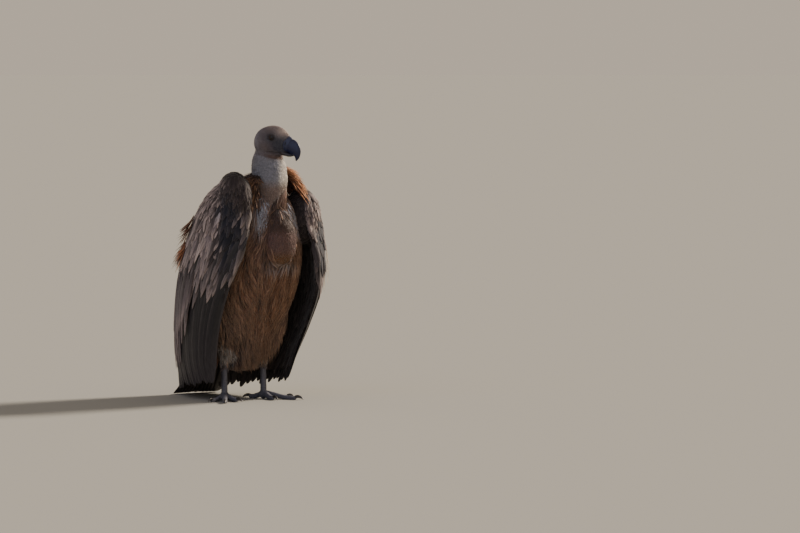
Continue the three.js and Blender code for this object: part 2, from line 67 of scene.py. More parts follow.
FORWARD = np.array([
    np.sin(HEAD_TURN) * np.cos(HEAD_DIP), -np.cos(HEAD_TURN) * np.cos(HEAD_DIP), -np.sin(HEAD_DIP),
])
LEFT = np.array([np.cos(HEAD_TURN), np.sin(HEAD_TURN), 0.0])
UP = np.cross(FORWARD, LEFT)
HEAD_AXES = np.array([FORWARD, LEFT, UP])


def in_head(forward, left, up):
    """A point of the head's frame in the bird's frame: the skull's centre plus each step along its axis."""
    return SKULL_CENTRE + np.stack(np.broadcast_arrays(forward, left, up), -1) @ HEAD_AXES


def middle(node):
    """The middle of a solid's box, in metres."""
    low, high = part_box(node)
    return (np.array(low) + np.array(high)) / 2


BETWEEN_EYES = in_head(EYE["forward"], 0, EYE["up"]) * MM
SHIFT = (middle("eye_left") + middle("eye_right")) / 2 - BETWEEN_EYES


def placed(points):
    """Millimetres in the bird's frame to metres in the model's frame."""
    return np.asarray(points) * MM + SHIFT


def unplaced(points):
    """Metres in the model's frame to millimetres in the bird's frame."""
    return (np.asarray(points) - SHIFT) / MM


print("the bird's frame lies at", SHIFT.round(5), "metres")

# %% [markdown]
# ## Camera, floor and light
#
# The camera stands far off with a long lens, so nothing is distorted. It looks from the bird's right front, a
# little from above, and aims past it, so that the bird stands left of centre.

# %% Camera
VIEW_TURN = np.radians(-33)
VIEW_RISE = np.radians(3)
VIEW_RIGHT = np.array([np.cos(VIEW_TURN), np.sin(VIEW_TURN), 0.0])
AIM = VIEW_RIGHT * 398 + np.array([0, 0, 340.0])
DISTANCE = 11330.0
LENS = 200
FILM_WIDTH = 36

scene = bpy.context.scene
camera_data = bpy.data.cameras.new("camera")
camera_data.lens = LENS
camera_data.sensor_width = FILM_WIDTH
camera_data.clip_end = 100
camera = bpy.data.objects.new("camera", camera_data)
scene.collection.objects.link(camera)
towards_camera = np.array([
    np.sin(VIEW_TURN) * np.cos(VIEW_RISE), -np.cos(VIEW_TURN) * np.cos(VIEW_RISE), np.sin(VIEW_RISE),
])
camera.location = placed(AIM + towards_camera * DISTANCE)
camera.rotation_euler = (np.pi / 2 - VIEW_RISE, 0, VIEW_TURN)
scene.camera = camera
print("camera", np.round(camera.location, 3), "metres")

# %% [markdown]
# Every finish below is a small graph of nodes. One function adds a node, gives it its settings, and sets or
# joins its inputs. Colours are written as they look on a screen and are turned into linear light.

# %% Colours and nodes


def colour(hexed):
    """An sRGB colour such as "8a5f3a" in linear light: below 0.04045 divided by 12.92, else a power of
    2.4."""
    channels = np.array([int(hexed[i:i + 2], 16) for i in (0, 2, 4)]) / 255
    return np.where(channels <= 0.04045, channels / 12.92, ((channels + 0.055) / 1.055) ** 2.4)


def paint(hexed):
    """The same colour with full opacity, as a socket takes it."""
    return (*colour(hexed), 1.0)


def feed(tree, node, inputs):
    """Sets a node's inputs: a node is joined by its first output, an output is joined, the rest are
    values."""
    for name, value in inputs.items():
        if isinstance(value, bpy.types.Node):
            value = value.outputs[0]
        if isinstance(value, bpy.types.NodeSocket):
            tree.links.new(value, node.inputs[name])
        else:
            node.inputs[name].default_value = value


def add(tree, kind, inputs=None, **settings):
    """Adds one shader node with its settings and its inputs."""
    made = tree.nodes.new("ShaderNode" + kind)
    for name, value in settings.items():
        setattr(made, name, value)
    feed(tree, made, inputs or {})
    return made


def finish(name):
    """A new material, its node tree and its Principled shader."""
    material = bpy.data.materials.new(name)
    material.use_nodes = True
    tree = material.node_tree
    return material, tree, tree.nodes["Principled BSDF"]


print("mid grey in linear light:", colour("808080").round(4))

# %% [markdown]
# A museum piece is lit softly. One wide warm lamp at the bird's left brightens that side, a large dim one at
# its right front fills the shade, and light comes from the whole pale sky. The floor is matt plaster, so wide
# that its edge is lost in the sky.

# %% Floor, backdrop and lamps
FLOOR_COLOUR = "91908b"
SKY_COLOUR = "e2d3bf"
SKY_STRENGTH = 0.72
FLOOR_REACH = 400.0

floor_mesh = bpy.data.meshes.new("floor")
floor_corners = [(x * FLOOR_REACH, y * FLOOR_REACH, 0) for x, y in ((-1, -1), (1, -1), (1, 1), (-1, 1))]
floor_mesh.from_pydata(floor_corners, [], [(0, 1, 2, 3)])
floor_object = bpy.data.objects.new("floor", floor_mesh)
scene.collection.objects.link(floor_object)
floor_finish, tree, shader = finish("matt_plaster")
feed(tree, shader, {"Base Color": paint(FLOOR_COLOUR), "Roughness": 1.0, "Specular IOR Level": 0.0})
floor_mesh.materials.append(floor_finish)

world = bpy.data.worlds.new("studio")
world.use_nodes = True
sky = world.node_tree.nodes["Background"]
feed(world.node_tree, sky, {"Color": paint(SKY_COLOUR), "Strength": SKY_STRENGTH})
scene.world = world


def lamp(name, azimuth, elevation, spread, strength, hexed):
    """A wide lamp far away. Azimuth 0 is ahead of the bird and 90 its left; spread is its width in
    degrees."""
    data = bpy.data.lights.new(name, "SUN")
    data.angle = np.radians(spread)
    data.energy = strength
    data.color = tuple(colour(hexed))
    made = bpy.data.objects.new(name, data)
    scene.collection.objects.link(made)
    made.rotation_euler = (np.radians(90 - elevation), 0, np.radians(azimuth))


lamp("key", azimuth=84, elevation=30, spread=12, strength=8.5, hexed="fff0dd")
lamp("fill", azimuth=-60, elevation=25, spread=70, strength=0.8, hexed="bccfff")
print("lamps:", [light.name for light in bpy.data.lights])

# %% [markdown]
# ## Forms
#
# Most of a bird is an oval section carried along a curved path: trunk, neck, crop, thighs, toes, claws. A few
# widths and depths at even stations are joined by a smooth curve. All the points of a form are worked out at
# once as arrays, from u round the section and v along the path.

# %% Curves


def unit(vectors):
    """Vectors divided by their own length."""
    return vectors / np.maximum(np.linalg.norm(vectors, axis=-1, keepdims=True), 1e-12)


def soft(x, low, high):
    """0 below low and 1 above high, with the smooth step 3 s squared - 2 s cubed between them."""
    s = np.clip((x - low) / (high - low), 0, 1)
    return s * s * (3 - 2 * s)


def through(values, t):
    """A smooth curve through evenly spaced values, read at t from 0 to 1. Its slope at each value is half the
    difference of the neighbours."""
    values = np.asarray(values, float)
    t = np.asarray(t, float)
    last = len(values) - 1
    i = np.clip(np.floor(t * last), 0, last - 1).astype(int)
    f = t * last - i
    longer = np.concatenate([[2 * values[0] - values[1]], values, [2 * values[-1] - values[-2]]])
    a, b, c, d = (longer[i + k] for k in range(4))
    cubed = 3 * (b - c) + d - a
    return b + 0.5 * f * (c - a + f * (2 * a - 5 * b + 4 * c - d + f * cubed))


def on_path(path, t):
    """The point at t of a path, given by its x, y and z at evenly spaced stations."""
    return np.stack([through(axis, t) for axis in path], -1)


def evened(v):
    """Steps that crowd towards both ends, so that they are round: (1 - cos of half a turn times v) / 2."""
    return (1 - np.cos(np.pi * v)) / 2


def circle(u):
    """The cosine and sine of u whole turns."""
    return np.cos(2 * np.pi * u), np.sin(2 * np.pi * u)


def closing(v, blunt):
    """How open a form is at v: the sine of half a turn times v, to a power that is small for blunt ends."""
    return np.clip(np.sin(np.pi * v), 0, 1) ** blunt


print("halfway through 0, 1 and 4:", through([0, 1, 4], 0.5))

# %% [markdown]
# A closed surface is a stack of rings of points between two end points. A mirrored form would turn inside
# out, so its faces are then taken in the other order.

# %% Closed surfaces


def limb(form, u, v, depth=0.0, mirror=1):
    """An oval section carried along a path: the centre, plus wide times the cosine of u sideways, plus deep
    times its sine square to the path, both closing at the ends. depth is how far it is drawn in."""
    u, v = np.broadcast_arrays(u, v)
    t = evened(v)
    before = on_path(form["path"], np.maximum(t - 0.01, 0))
    ahead = unit(on_path(form["path"], np.minimum(t + 0.01, 1)) - before)
    across = np.asarray(form.get("across", (1.0, 0.0, 0.0)))
    square = unit(np.cross(ahead, across))
    close, (cosine, sine) = closing(v, form["blunt"]), circle(u)
    sideways = cosine * (through(form["wide"], t) - depth) * close
    inwards = sine * (through(form["deep"], t) - depth) * close
    centre = on_path(form["path"], t) + ahead * (depth * (1 - 2 * t))[..., None]
    points = centre + across * sideways[..., None] + square * inwards[..., None]
    return points * (mirror, 1, 1)


def closed_grid(form, around, along, flip=False):
    """Rings at even steps of v with one point at each end, as points, four-sided and three-sided faces."""
    v = np.linspace(0, 1, along + 1)[1:-1, None]
    u = np.arange(around)[None, :] / around
    rings = form(u, v)
    ends = form(np.zeros(2), np.array([0.0, 1.0]))
    points = np.concatenate([rings.reshape(-1, 3), ends])
    at = np.arange((along - 1) * around).reshape(along - 1, around)
    on = np.roll(at, -1, axis=1)
    first, last = len(points) - 2, len(points) - 1
    quads = np.stack([at[:-1], on[:-1], on[1:], at[1:]], -1).reshape(-1, 4)
    low = np.stack([on[0], at[0], np.full(around, first)], -1)
    high = np.stack([at[-1], on[-1], np.full(around, last)], -1)
    tris = np.concatenate([low, high])
    return (points, quads[:, ::-1], tris[:, ::-1]) if flip else (points, quads, tris)


def unit_ball(u, v):
    """A ball of radius 1: u goes round it, and v climbs from its foot to its top."""
    u, v = np.broadcast_arrays(u, v)
    ring, (cosine, sine) = np.sin(np.pi * v), circle(u)
    return np.stack([ring * cosine, ring * sine, -np.cos(np.pi * v)], -1)


print("faces of a coarse ball:", [len(faces) for faces in closed_grid(unit_ball, 8, 4)[1:]])

# %% [markdown]
# Points and faces go into a Blender mesh in one call for each array, which is quick even for many thousands.
# Modifiers do the heavy work, and their result is read back as a new mesh.

# %% Meshes


def new_mesh(name, points, quads, tris):
    """A smooth mesh from points in the bird's millimetres and faces with four and three corners."""
    quads = np.asarray(quads, np.int32).reshape(-1, 4)
    tris = np.asarray(tris, np.int32).reshape(-1, 3)
    corners = np.concatenate([quads.ravel(), tris.ravel()])
    starts = np.concatenate([np.arange(len(quads)) * 4, len(quads) * 4 + np.arange(len(tris)) * 3])
    mesh = bpy.data.meshes.new(name)
    mesh.vertices.add(len(points))
    mesh.vertices.foreach_set("co", placed(points).astype(np.float32).ravel())
    mesh.loops.add(len(corners))
    mesh.loops.foreach_set("vertex_index", corners.astype(np.int32))
    mesh.polygons.add(len(starts))
    mesh.polygons.foreach_set("loop_start", starts.astype(np.int32))
    mesh.update(calc_edges=True)
    mesh.shade_smooth()
    return mesh


def shown(name, mesh):
    """An object that holds the mesh, in the scene."""
    made = bpy.data.objects.new(name, mesh)
    scene.collection.objects.link(made)
    return made


def together(parts):
    """Several (points, quads, tris) as one, each part's faces counted on from the parts before it."""
    offsets = np.cumsum([0] + [len(part[0]) for part in parts])
    points = np.concatenate([part[0] for part in parts])
    quads = np.concatenate([part[1] + offset for part, offset in zip(parts, offsets)])
    tris = np.concatenate([part[2] + offset for part, offset in zip(parts, offsets)])
    return points, quads, tris


def evaluated(made):
    """The object's mesh with its modifiers applied, as a new mesh."""
    graph = bpy.context.evaluated_depsgraph_get()
    return bpy.data.meshes.new_from_object(made.evaluated_get(graph))


def points_of(mesh):
    """A mesh's points in the bird's millimetres."""
    flat = np.zeros(len(mesh.vertices) * 3, np.float32)
    mesh.vertices.foreach_get("co", flat)
    return unplaced(flat.reshape(-1, 3).astype(float))


print("two balls as one:", [len(part) for part in together([closed_grid(unit_ball, 8, 4)] * 2)])

# %% [markdown]
# A finished piece rides on the model's one body, gets its finish, and hides the solids it stands for.

# %% Pieces


def finished(made, material, slot, *nodes):
    """Gives a piece its finish, lets it ride on the model, and hides the solids it replaces."""
    made.data.materials.clear()
    made.data.materials.append(material)
    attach(made, "root")
    if nodes:
        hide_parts(*nodes)
    made.data.calc_loop_triangles()
    print(made.name, len(made.data.loop_triangles), "triangles")
    return made


print("solids to stand for:", len(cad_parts))

# %% [markdown]
# ## The skin
#
# Under its feathers the bird is one unbroken skin. Each part is a simple form like its solid, a few
# millimetres smaller wherever feathers fill the rest. The forms are joined by rebuilding them on an even grid
# of small cells, which rounds the creases between them.

# %% Sizes of the body
TRUNK = dict(
    path=([0] * 7, [34, 14, -6, -38, -78, -108, -128], [66, 146, 226, 306, 386, 466, 546]),
    wide=[78, 96, 112, 120, 116, 100, 76], deep=[50, 76, 98, 112, 108, 88, 58], blunt=0.5,
)
NECK = dict(
    path=([0, 0, 3, 5, 2], [-138, -140, -130, -113, -122], [468, 516, 558, 604, 686]),
    wide=[29, 35, 41, 45, 31], deep=[33, 41, 49, 53, 37], blunt=0.42,
)
CROP = dict(
    path=([0] * 4, [-168, -180, -180, -164], [354, 396, 442, 492]),
    wide=[38, 42, 37, 25], deep=[32, 38, 35, 24], blunt=0.5,
)
MANTLE = dict(
    path=([0] * 5, [-92, -30, 58, 118, 146], [556, 508, 424, 318, 216]),
    wide=[60, 70, 66, 50, 32], deep=[32, 54, 62, 56, 34], blunt=0.5,
)
THIGH = dict(
    path=([70, 76, 70, 60], [0, -18, -12, 1], [262, 212, 168, 122]),
    wide=[34, 40, 30, 13], deep=[40, 46, 34, 14], blunt=0.35,
)
SHANK = dict(
    path=([60, 58, 58, 58], [1, 3, 1, 0], [150, 100, 50, 4]),
    wide=[8.5, 7.8, 7.6, 9.5], deep=[9.5, 9, 8.6, 10], blunt=0.25,
)
SKULL = dict(
    up=[-8, -6, -3, -0.5, 3, 0], tall=[36, 41, 43, 41.5, 34.5, 26], wide=[28, 33, 33, 29, 20.5, 12],
    back=-48, front=60,
)
SWELLINGS = [
    dict(forward=16.5, up=19, long=17, tall=6, height=3.0),
    dict(forward=12.5, up=11, long=12, tall=9, height=-3.0),
    dict(forward=0.5, up=-16, long=20, tall=13, height=2.2),
]
BODY_DEPTH = 7.0
NECK_DEPTH = 4.0
CROP_DEPTH = 2.5
FACE_DEPTH = 1.5
print("trunk:", 2 * max(TRUNK["wide"]), "mm wide; skull:", SKULL["front"] - SKULL["back"], "mm long")

# %% [markdown]
# The head is not a plain oval: a low brow and a full cheek stand out of its sides, and the eye lies in a
# hollow between them. Three soft swellings make these, one of them inwards.

# %% Skull


def skull(u, v, depth=FACE_DEPTH):
    """An oval section carried forwards. Its sides swell or sink at three places by a height times e to the
    minus squared distance."""
    u, v = np.broadcast_arrays(u, v)
    t = evened(v)
    close, (cosine, sine) = closing(v, 0.5), circle(u)
    forward = (SKULL["back"] + depth) * (1 - t) + (SKULL["front"] - depth) * t
    up = through(SKULL["up"], t) + sine * (through(SKULL["tall"], t) - depth) * close
    relief = sum(
        place["height"] * np.exp(
            -((forward - place["forward"]) / place["long"]) ** 2 - ((up - place["up"]) / place["tall"]) ** 2
        ) for place in SWELLINGS
    )
    side = cosine * (through(SKULL["wide"], t) - depth + relief) * close
    return in_head(forward, side, up)


print("skull, mm across, long and tall:", np.ptp(closed_grid(skull, 24, 24)[0], axis=0).round(1))

# %% [markdown]
# A vulture walks more than it grasps, so its toes are long and nearly straight and lie flat. Each is named by
# where it points.

# %% Sizes of the feet
ANKLE_SPREAD = 58.0
ANKLE_RADIUS = 12.0
TOE_OUT = 30.0
TOES = {
    "inner": dict(turn=-34, length=58, root=8.6, tip=6.2, claw=27),
    "middle": dict(turn=0, length=96, root=8.8, tip=5.8, claw=26),
    "outer": dict(turn=32, length=66, root=8.0, tip=5.4, claw=21),
    "hind": dict(turn=186, length=40, root=8.0, tip=6.2, claw=25),
}
PAD_FLAT = 1.6
SCUTE = 4.6


def toe_frame(side, toe):
    """The ankle's place on the floor, and the toe's direction and the direction across it."""
    turn = np.radians(TOE_OUT + toe["turn"])
    way = np.array([side * np.sin(turn), -np.cos(turn), 0.0])
    return np.array([side * ANKLE_SPREAD, 0.0, 0.0]), way, np.array([-way[1], way[0], 0.0])


def toe_path(side, toe, stops):
    """A path above the toe's line: each stop is a distance along it and a height."""
    ankle, way, _ = toe_frame(side, toe)
    reaches, heights = np.array(stops).T
    return [ankle[0] + reaches * way[0], ankle[1] + reaches * way[1], heights]


def toe_form(side, toe):
    """A toe as a limb: it slopes down from the ankle to the floor, with a swelling over each joint."""
    length, root, tip = toe["length"], toe["root"], toe["tip"]
    stops = [
        (0, 15), (0.34 * length, root + 1), (0.68 * length, tip - PAD_FLAT / 2), (length, tip - PAD_FLAT),
    ]
    return dict(
        path=toe_path(side, toe, stops), across=toe_frame(side, toe)[2], blunt=0.35,
        wide=[root, root, root - 1.4, tip + 0.9, tip + 0.2, tip + 0.9, tip],
        deep=[root + 1, root, root - 1.2, tip + 0.7, tip - 0.1, tip + 0.8, tip],
    )


def ankle_ball(side):
    """The ankle: a plain ball that touches the floor."""
    centre = np.array([side * ANKLE_SPREAD, 0, ANKLE_RADIUS])
    return lambda u, v: centre + ANKLE_RADIUS * unit_ball(u, v)


print("toes, mm from the ankle:", {name: toe["length"] for name, toe in TOES.items()})

# %% [markdown]
# A voxel remesh wraps the forms in one even net of squares, and a few rounds of smoothing take off its steps.
# The squares are a twelfth of a toe's width on the feet, and three times as wide under the feathers, where
# nobody sees the skin.

# %% One skin


def rebuilt(name, parts, cell, rounds):
    """The parts as one closed surface of squares about `cell` millimetres wide, evened out `rounds` times."""
    made = shown(name, new_mesh(name, *together(parts)))
    even = made.modifiers.new("even", "REMESH")
    even.mode = "VOXEL"
    even.voxel_size = cell * MM
    calm = made.modifiers.new("calm", "SMOOTH")
    calm.factor = 0.5
    calm.iterations = rounds
    mesh = evaluated(made)
    bpy.data.objects.remove(made)
    return shown(name, mesh)


def grid_of(form, around, along, depth=0.0, mirror=1):
    """closed_grid of a limb."""
    return closed_grid(lambda u, v: limb(form, u, v, depth, mirror), around, along, flip=mirror < 0)


head_skin = rebuilt("skin_of_head", [
    closed_grid(skull, 64, 48),
    grid_of(NECK, 64, 40, NECK_DEPTH),
], cell=1.65, rounds=3)
body_skin = rebuilt("skin", [
    grid_of(TRUNK, 64, 48, BODY_DEPTH),
    grid_of(MANTLE, 48, 32, BODY_DEPTH),
    grid_of(CROP, 40, 28, CROP_DEPTH),
    grid_of(NECK, 48, 32, NECK_DEPTH + 1.5),
    *[grid_of(THIGH, 40, 28, BODY_DEPTH - 1, mirror) for mirror in (-1, 1)],
], cell=4.5, rounds=6)
foot_skin = rebuilt("skin_of_feet", [
    part for side in (-1, 1) for part in (
        grid_of(SHANK, 32, 24, 0.0, side),
        closed_grid(ankle_ball(side), 32, 20),
        *[grid_of(toe_form(side, toe), 28, 24) for toe in TOES.values()],
    )
], cell=1.35, rounds=2)
print("skins:", [len(made.data.polygons) for made in (head_skin, body_skin, foot_skin)], "squares")

# %% [markdown]
# The eyelids are thick bare rims that lie on the eyeball, with a softer fold round them, heavier above than
# below. They are fine closed rings, united with the head as part of the same skin. Then the three skins are
# united too.

# %% Lids, and the three skins as one


def lid_ring(side, middle_angle, spread, thick, over):
    """A closed ring on the eyeball. Seen from the eye's middle it lies middle_angle degrees from the axis,
    spread more along the head and spread less up and down. over is how much thicker it is above."""
    def ring(u, w):
        around, across = 2 * np.pi * u, 2 * np.pi * w
        reach = np.radians(middle_angle + spread * np.cos(2 * around))
        weight = 1 + over * np.clip(np.sin(around), 0, 1) ** 2
        out = EYE["radius"] + 0.1 + thick * weight * np.cos(across)
        reach = reach + thick * weight * np.sin(across) / EYE["radius"]
        step = out * np.sin(reach)
        return in_head(
            EYE["forward"] + step * np.cos(around), side * (EYE["side"] + out * np.cos(reach)),
            EYE["up"] + step * np.sin(around),
        )
    return ring


def torus(ring, around, across, flip):
    """The points and faces of a surface that closes on itself both ways."""
    u, w = np.meshgrid(np.arange(around) / around, np.arange(across) / across, indexing="ij")
    at = np.arange(around * across).reshape(around, across)
    on, up = np.roll(at, -1, 0), np.roll(at, -1, 1)
    quads = np.stack([at, on, np.roll(on, -1, 1), up], -1).reshape(-1, 4)
    return ring(u, w).reshape(-1, 3), quads[:, ::-1] if flip else quads, np.zeros((0, 3), int)


def combined(base, others, operation="UNION"):
    """The base united with the others, or cut by them, by the quick exact solver for closed meshes."""
    for other in others:
        step = base.modifiers.new("combine", "BOOLEAN")
        step.operation, step.solver, step.object = operation, "MANIFOLD", other
    mesh = evaluated(base)
    name = base.name
    for old in (base, *others):
        bpy.data.objects.remove(old)
    return shown(name, mesh)


LIDS = [
    dict(middle_angle=45, spread=4.5, thick=0.95, over=0.5),
    dict(middle_angle=59, spread=4.0, thick=1.15, over=0.7),
]
lid_parts = [
    shown("lid", new_mesh("lid", *torus(lid_ring(side, **lid), 72, 14, flip=side > 0)))
    for side in (-1, 1) for lid in LIDS
]
head_skin = combined(head_skin, lid_parts)
skin = combined(body_skin, [head_skin, foot_skin])
skin.data.shade_smooth()
print("one skin:", len(skin.data.polygons), "faces")

# %% [markdown]
# The soles are flat at floor level, a shallow groove runs back from the corner of the bill, and the skin
# sinks under the nostrils. Each is a move of the skin's points: a depth times a share that fades out round a
# line or a spot.

# %% Soles, mouth and nostrils
GAPE_DEPTH = 1.6
NOSTRIL_DEPTH = 6.0


def head_parts(points):
    """How far points lie forwards, to the left and up in the head's frame."""
    return ((points - SKULL_CENTRE) @ HEAD_AXES.T).T


def gape(points):
    """The line of the mouth, back and a little down from the bill's corner: 1 on the line, and less by e to
    the minus squared distance."""
    forward, left, up = head_parts(points)
    line = -21 - 0.14 * (34 - forward)
    along = soft(forward, 2, 12) * soft(-forward, -52, -44) * soft(np.abs(left), 5, 9)
    return along * np.exp(-((up - line) / 1.5) ** 2)


def nostrils(points):
    """1 at the two places under the cere where the nostrils are sunk."""
    forward, left, up = head_parts(points)
    return soft(forward, 45, 47.5) * soft(-np.abs(up - 6.5), -9, -6.5) * soft(np.abs(left), 4, 7)


def shaped_skin(mesh):
    """Presses the soles flat, and draws the mouth's line and the nostrils in along the head's sides."""
    points = points_of(mesh)
    points[:, 2] = np.maximum(points[:, 2], 0)
    side = np.sign(head_parts(points)[1])[:, None] * LEFT
    points -= side * (GAPE_DEPTH * gape(points) + NOSTRIL_DEPTH * nostrils(points))[:, None]
    mesh.vertices.foreach_set("co", placed(points).astype(np.float32).ravel())
    mesh.update()


shaped_skin(skin.data)
print("lowest point of the soles:", round(float(points_of(skin.data)[:, 2].min()), 3), "mm")

# %% [markdown]
# ## Markings
#
# The coat's colour belongs to the place on the body, so skin and feathers take it from one function of place.
# Soft-edged patches are laid one over another, like thin coats of paint, each by a share from 0 to 1.

# %% Colours by place


def patch(shares, hexed, colours):
    """The colours with one more laid over them, by its share at each point."""
    share = np.clip(shares, 0, 1)[:, None]
    return colours * (1 - share) + colour(hexed) * share


def layered(base, count, layers=()):
    """One base colour for `count` points, with each (share, colour) of the layers laid over it in turn."""
    colours = np.tile(colour(base), (count, 1))
    for share, hexed in layers:
        colours = patch(share, hexed, colours)
    return colours


def spot(values, centres, sizes):
    """1 at a centre, and less by e to the minus squared distance, each distance divided by its size."""
    return np.exp(-sum(((value - centre) / size) ** 2 for value, centre, size in zip(values, centres, sizes)))


print("half a white patch on black:", layered("000000", 1, [(np.array([0.5]), "ffffff")]))

# %% [markdown]
# The same few regions decide both the colours and the kinds of feather: head, neck, nape, crop and legs. Each
# is a function that is 1 inside and 0 outside, with a soft edge.

# %% Regions
# The breast is seen from the bird's right front, so its patches are placed along the line that runs from
# there to the bird's left, and by height.
LEFTWARDS = np.array([0.839, -0.545, 0.0])
JAW = -39.0


def is_head(points):
    """1 above the jaw's edge, 0 below it."""
    forward, _, up = head_parts(points)
    return soft(up + 0.1 * np.clip(-forward - 10, 0, 60), JAW - 3, JAW + 3)


def is_neck(points):
    """1 on the down of the neck, which ends in a point over the crop and runs level round the nape."""
    along = points @ LEFTWARDS
    edge = 505 + 1.25 * np.abs(along - 73)
    return soft(points[:, 2], np.minimum(edge, 556) - 4, np.minimum(edge, 556) + 4)


def is_nape(points):
    """1 on the foot of the neck behind, where the ruff and the mantle take over from the down."""
    return soft(points[:, 1], -104, -86) * soft(-points[:, 2], -592, -568)


def is_crop(points):
    """1 on the bulge of the full crop."""
    x, y, z = points.T
    return soft(1.25 - (x / 39) ** 2 - ((z - 420) / 66) ** 2, 0.0, 0.35) * soft(-y, 168, 186)


def over_leg(points):
    """1 in the upright strips that hold the legs, seen from the front."""
    return soft(-np.abs(np.abs(points[:, 0]) - ANKLE_SPREAD), -26, -20)


def is_leg(points):
    """1 in an upright post round each leg."""
    return over_leg(points) * soft(-np.abs(points[:, 1]), -30, -20)


print("the jaw's edge lies", -JAW, "mm below the middle of the skull")

# %% [markdown]
# The body is rufous brown, greyer behind and above. White down shows beside the crop, under it and on the
# legs, and a dark wedge above it. The crop is dark on top and golden below. The neck wears pale grey down,
# darkened as painted shade and painted palest on its left side as a highlight, with brown at the throat. The
# head is mauve-grey: its brow is pale, partly its own pale down and partly painted light, its chin is rufous,
# and it darkens to blue-black round the eye and at the bill.

# %% Coat colours


def markings_and_painted_light(points):
    """The coat's colour at each point of the body, in linear light."""
    y, z = points[:, 1], points[:, 2]
    along = points @ LEFTWARDS
    front = soft(-y, 60, 120)
    forward, _, up = head_parts(points)
    legs, crop, neck, head = is_leg(points), is_crop(points), is_neck(points), is_head(points)

    def on_breast(centre, sizes):
        return front * spot((along, z), centre, sizes)

    def on_head(centre, sizes):
        return spot((forward, up), centre, sizes)

    return layered("795742", len(points), [
        (soft(z, 240, 100), "93643f"),
        (0.8 * soft(z, 320, 440), "6e5449"),
        (1 - front, "6a564c"),
        (0.95 * legs * soft(z, 162, 145), "a7a4a2"),
        (on_breast((98, 362), (30, 11)), "a9a9b0"),
        (1.4 * on_breast((50, 486), (17, 26)), "a9aebc"),
        (1.4 * on_breast((128, 484), (24, 32)), "989fb0"),
        (on_breast((90, 500), (22, 24)), "2c201e"),
        (crop, "5f4744"),
        (crop * soft(z, 425, 462), "382926"),
        (crop * soft(z, 400, 368), "664426"),
        # Painted shade and light on the neck: its pale down is darkened to grey as shade, and its left side
        # is painted cream as a highlight.
        (neck, "85868f"),
        (neck * 0.9 * soft(along, 86, 102), "e6dfd4"),
        (neck * 0.85 * soft(-z, -574, -544) * front, "7d6353"),
        (neck * soft(y, -128, -92) * 0.5, "9c9698"),
        (head, "5b5359"),
        (head * 0.8 * on_head((-2, 38), (30, 14)), "7f6d66"),
        # Pale brow: partly the bird's own pale down, partly painted light on the forehead.
        (head * 0.9 * on_head((36, 31), (17, 12)), "c4b0a2"),
        (head * on_head((8, -14), (22, 12)) * 0.7, "5f4c46"),
        (head * on_head((26, -36), (22, 8)), "5a3d2c"),
        (head * on_head((-32, -8), (14, 22)) * 0.6, "98939a"),
        (head * 1.5 * on_head((38, -2), (20, 20)), "1f2030"),
        (head * 1.5 * on_head((EYE["forward"], EYE["up"]), (12, 11)), "201c20"),
        (0.85 * np.maximum(neck, head) * on_head((-40, -38), (26, 22)), "827b80"),
        (1.1 * gape(points), "1f1a1c"),
        (np.minimum(soft(z, 104, 92) * legs + soft(z, 50, 40), 1), "5d5d66"),
    ])


def give(mesh, name, kind, values):
    """Stores values on a mesh under a name: a number, three numbers or an opaque colour for each point."""
    if kind == "FLOAT_COLOR":
        values = np.concatenate([values, np.ones((len(values), 1))], 1)
    field = {"FLOAT": "value", "FLOAT_VECTOR": "vector", "FLOAT_COLOR": "color"}[kind]
    layer = mesh.attributes.new(name, kind, "POINT")
    layer.data.foreach_set(field, np.ascontiguousarray(values, np.float32).ravel())


skin_points = points_of(skin.data)
give(skin.data, "coat", "FLOAT_COLOR", markings_and_painted_light(skin_points))
print("coloured skin:", len(skin_points), "points")

# %% [markdown]
# Bare skin shows on the legs, toes, lids and mouth. The legs and toes carry broad horny plates along their
# fronts, and small round scales elsewhere. The plates are counted along each toe, so they cross it squarely.

# %% Leg plates


def plates(points):
    """How many plates a point lies along its toe or shank, and how much it belongs to the plated strip."""
    x, y, z = points.T
    side = np.where(x < 0, -1.0, 1.0)
    count = z / SCUTE
    share = soft(-y, -1, 4) * soft(z, 20, 30) * soft(-z, -130, -110)
    best = np.full(len(points), 8.0)
    for toe in TOES.values():
        turn = np.radians(TOE_OUT + toe["turn"])
        way = np.stack([side * np.sin(turn), -np.cos(turn) * np.ones_like(side)], -1)
        offset = np.stack([x - side * ANKLE_SPREAD, y], -1)
        reach = (offset * way).sum(-1)
        aside = np.abs(offset[:, 0] * way[:, 1] - offset[:, 1] * way[:, 0])
        on_toe = (aside < best) & (reach > 6) & (z < 26)
        best = np.where(on_toe, aside, best)
        count = np.where(on_toe, reach / SCUTE, count)
        share = np.where(on_toe, soft(-aside, -5.5, -3) * soft(z, 5, 9), share)
    return count, share


plate_count, plate_share = plates(skin_points)
bare_share = soft(-skin_points[:, 2], -140, -120)
give(skin.data, "plates", "FLOAT_VECTOR", np.stack([plate_count, plate_share, bare_share], -1))
print("plated skin:", int((plate_share > 0.5).sum()), "points")

# %% [markdown]
# Skin is soft and a little uneven, with a low sheen. Its colour is the marking at each place, broken up by
# fine mottling. On the legs, rounded plates and a net of scales 2 mm wide stand out as relief.

# %% Skin finish
BUMP_STEP = 0.001


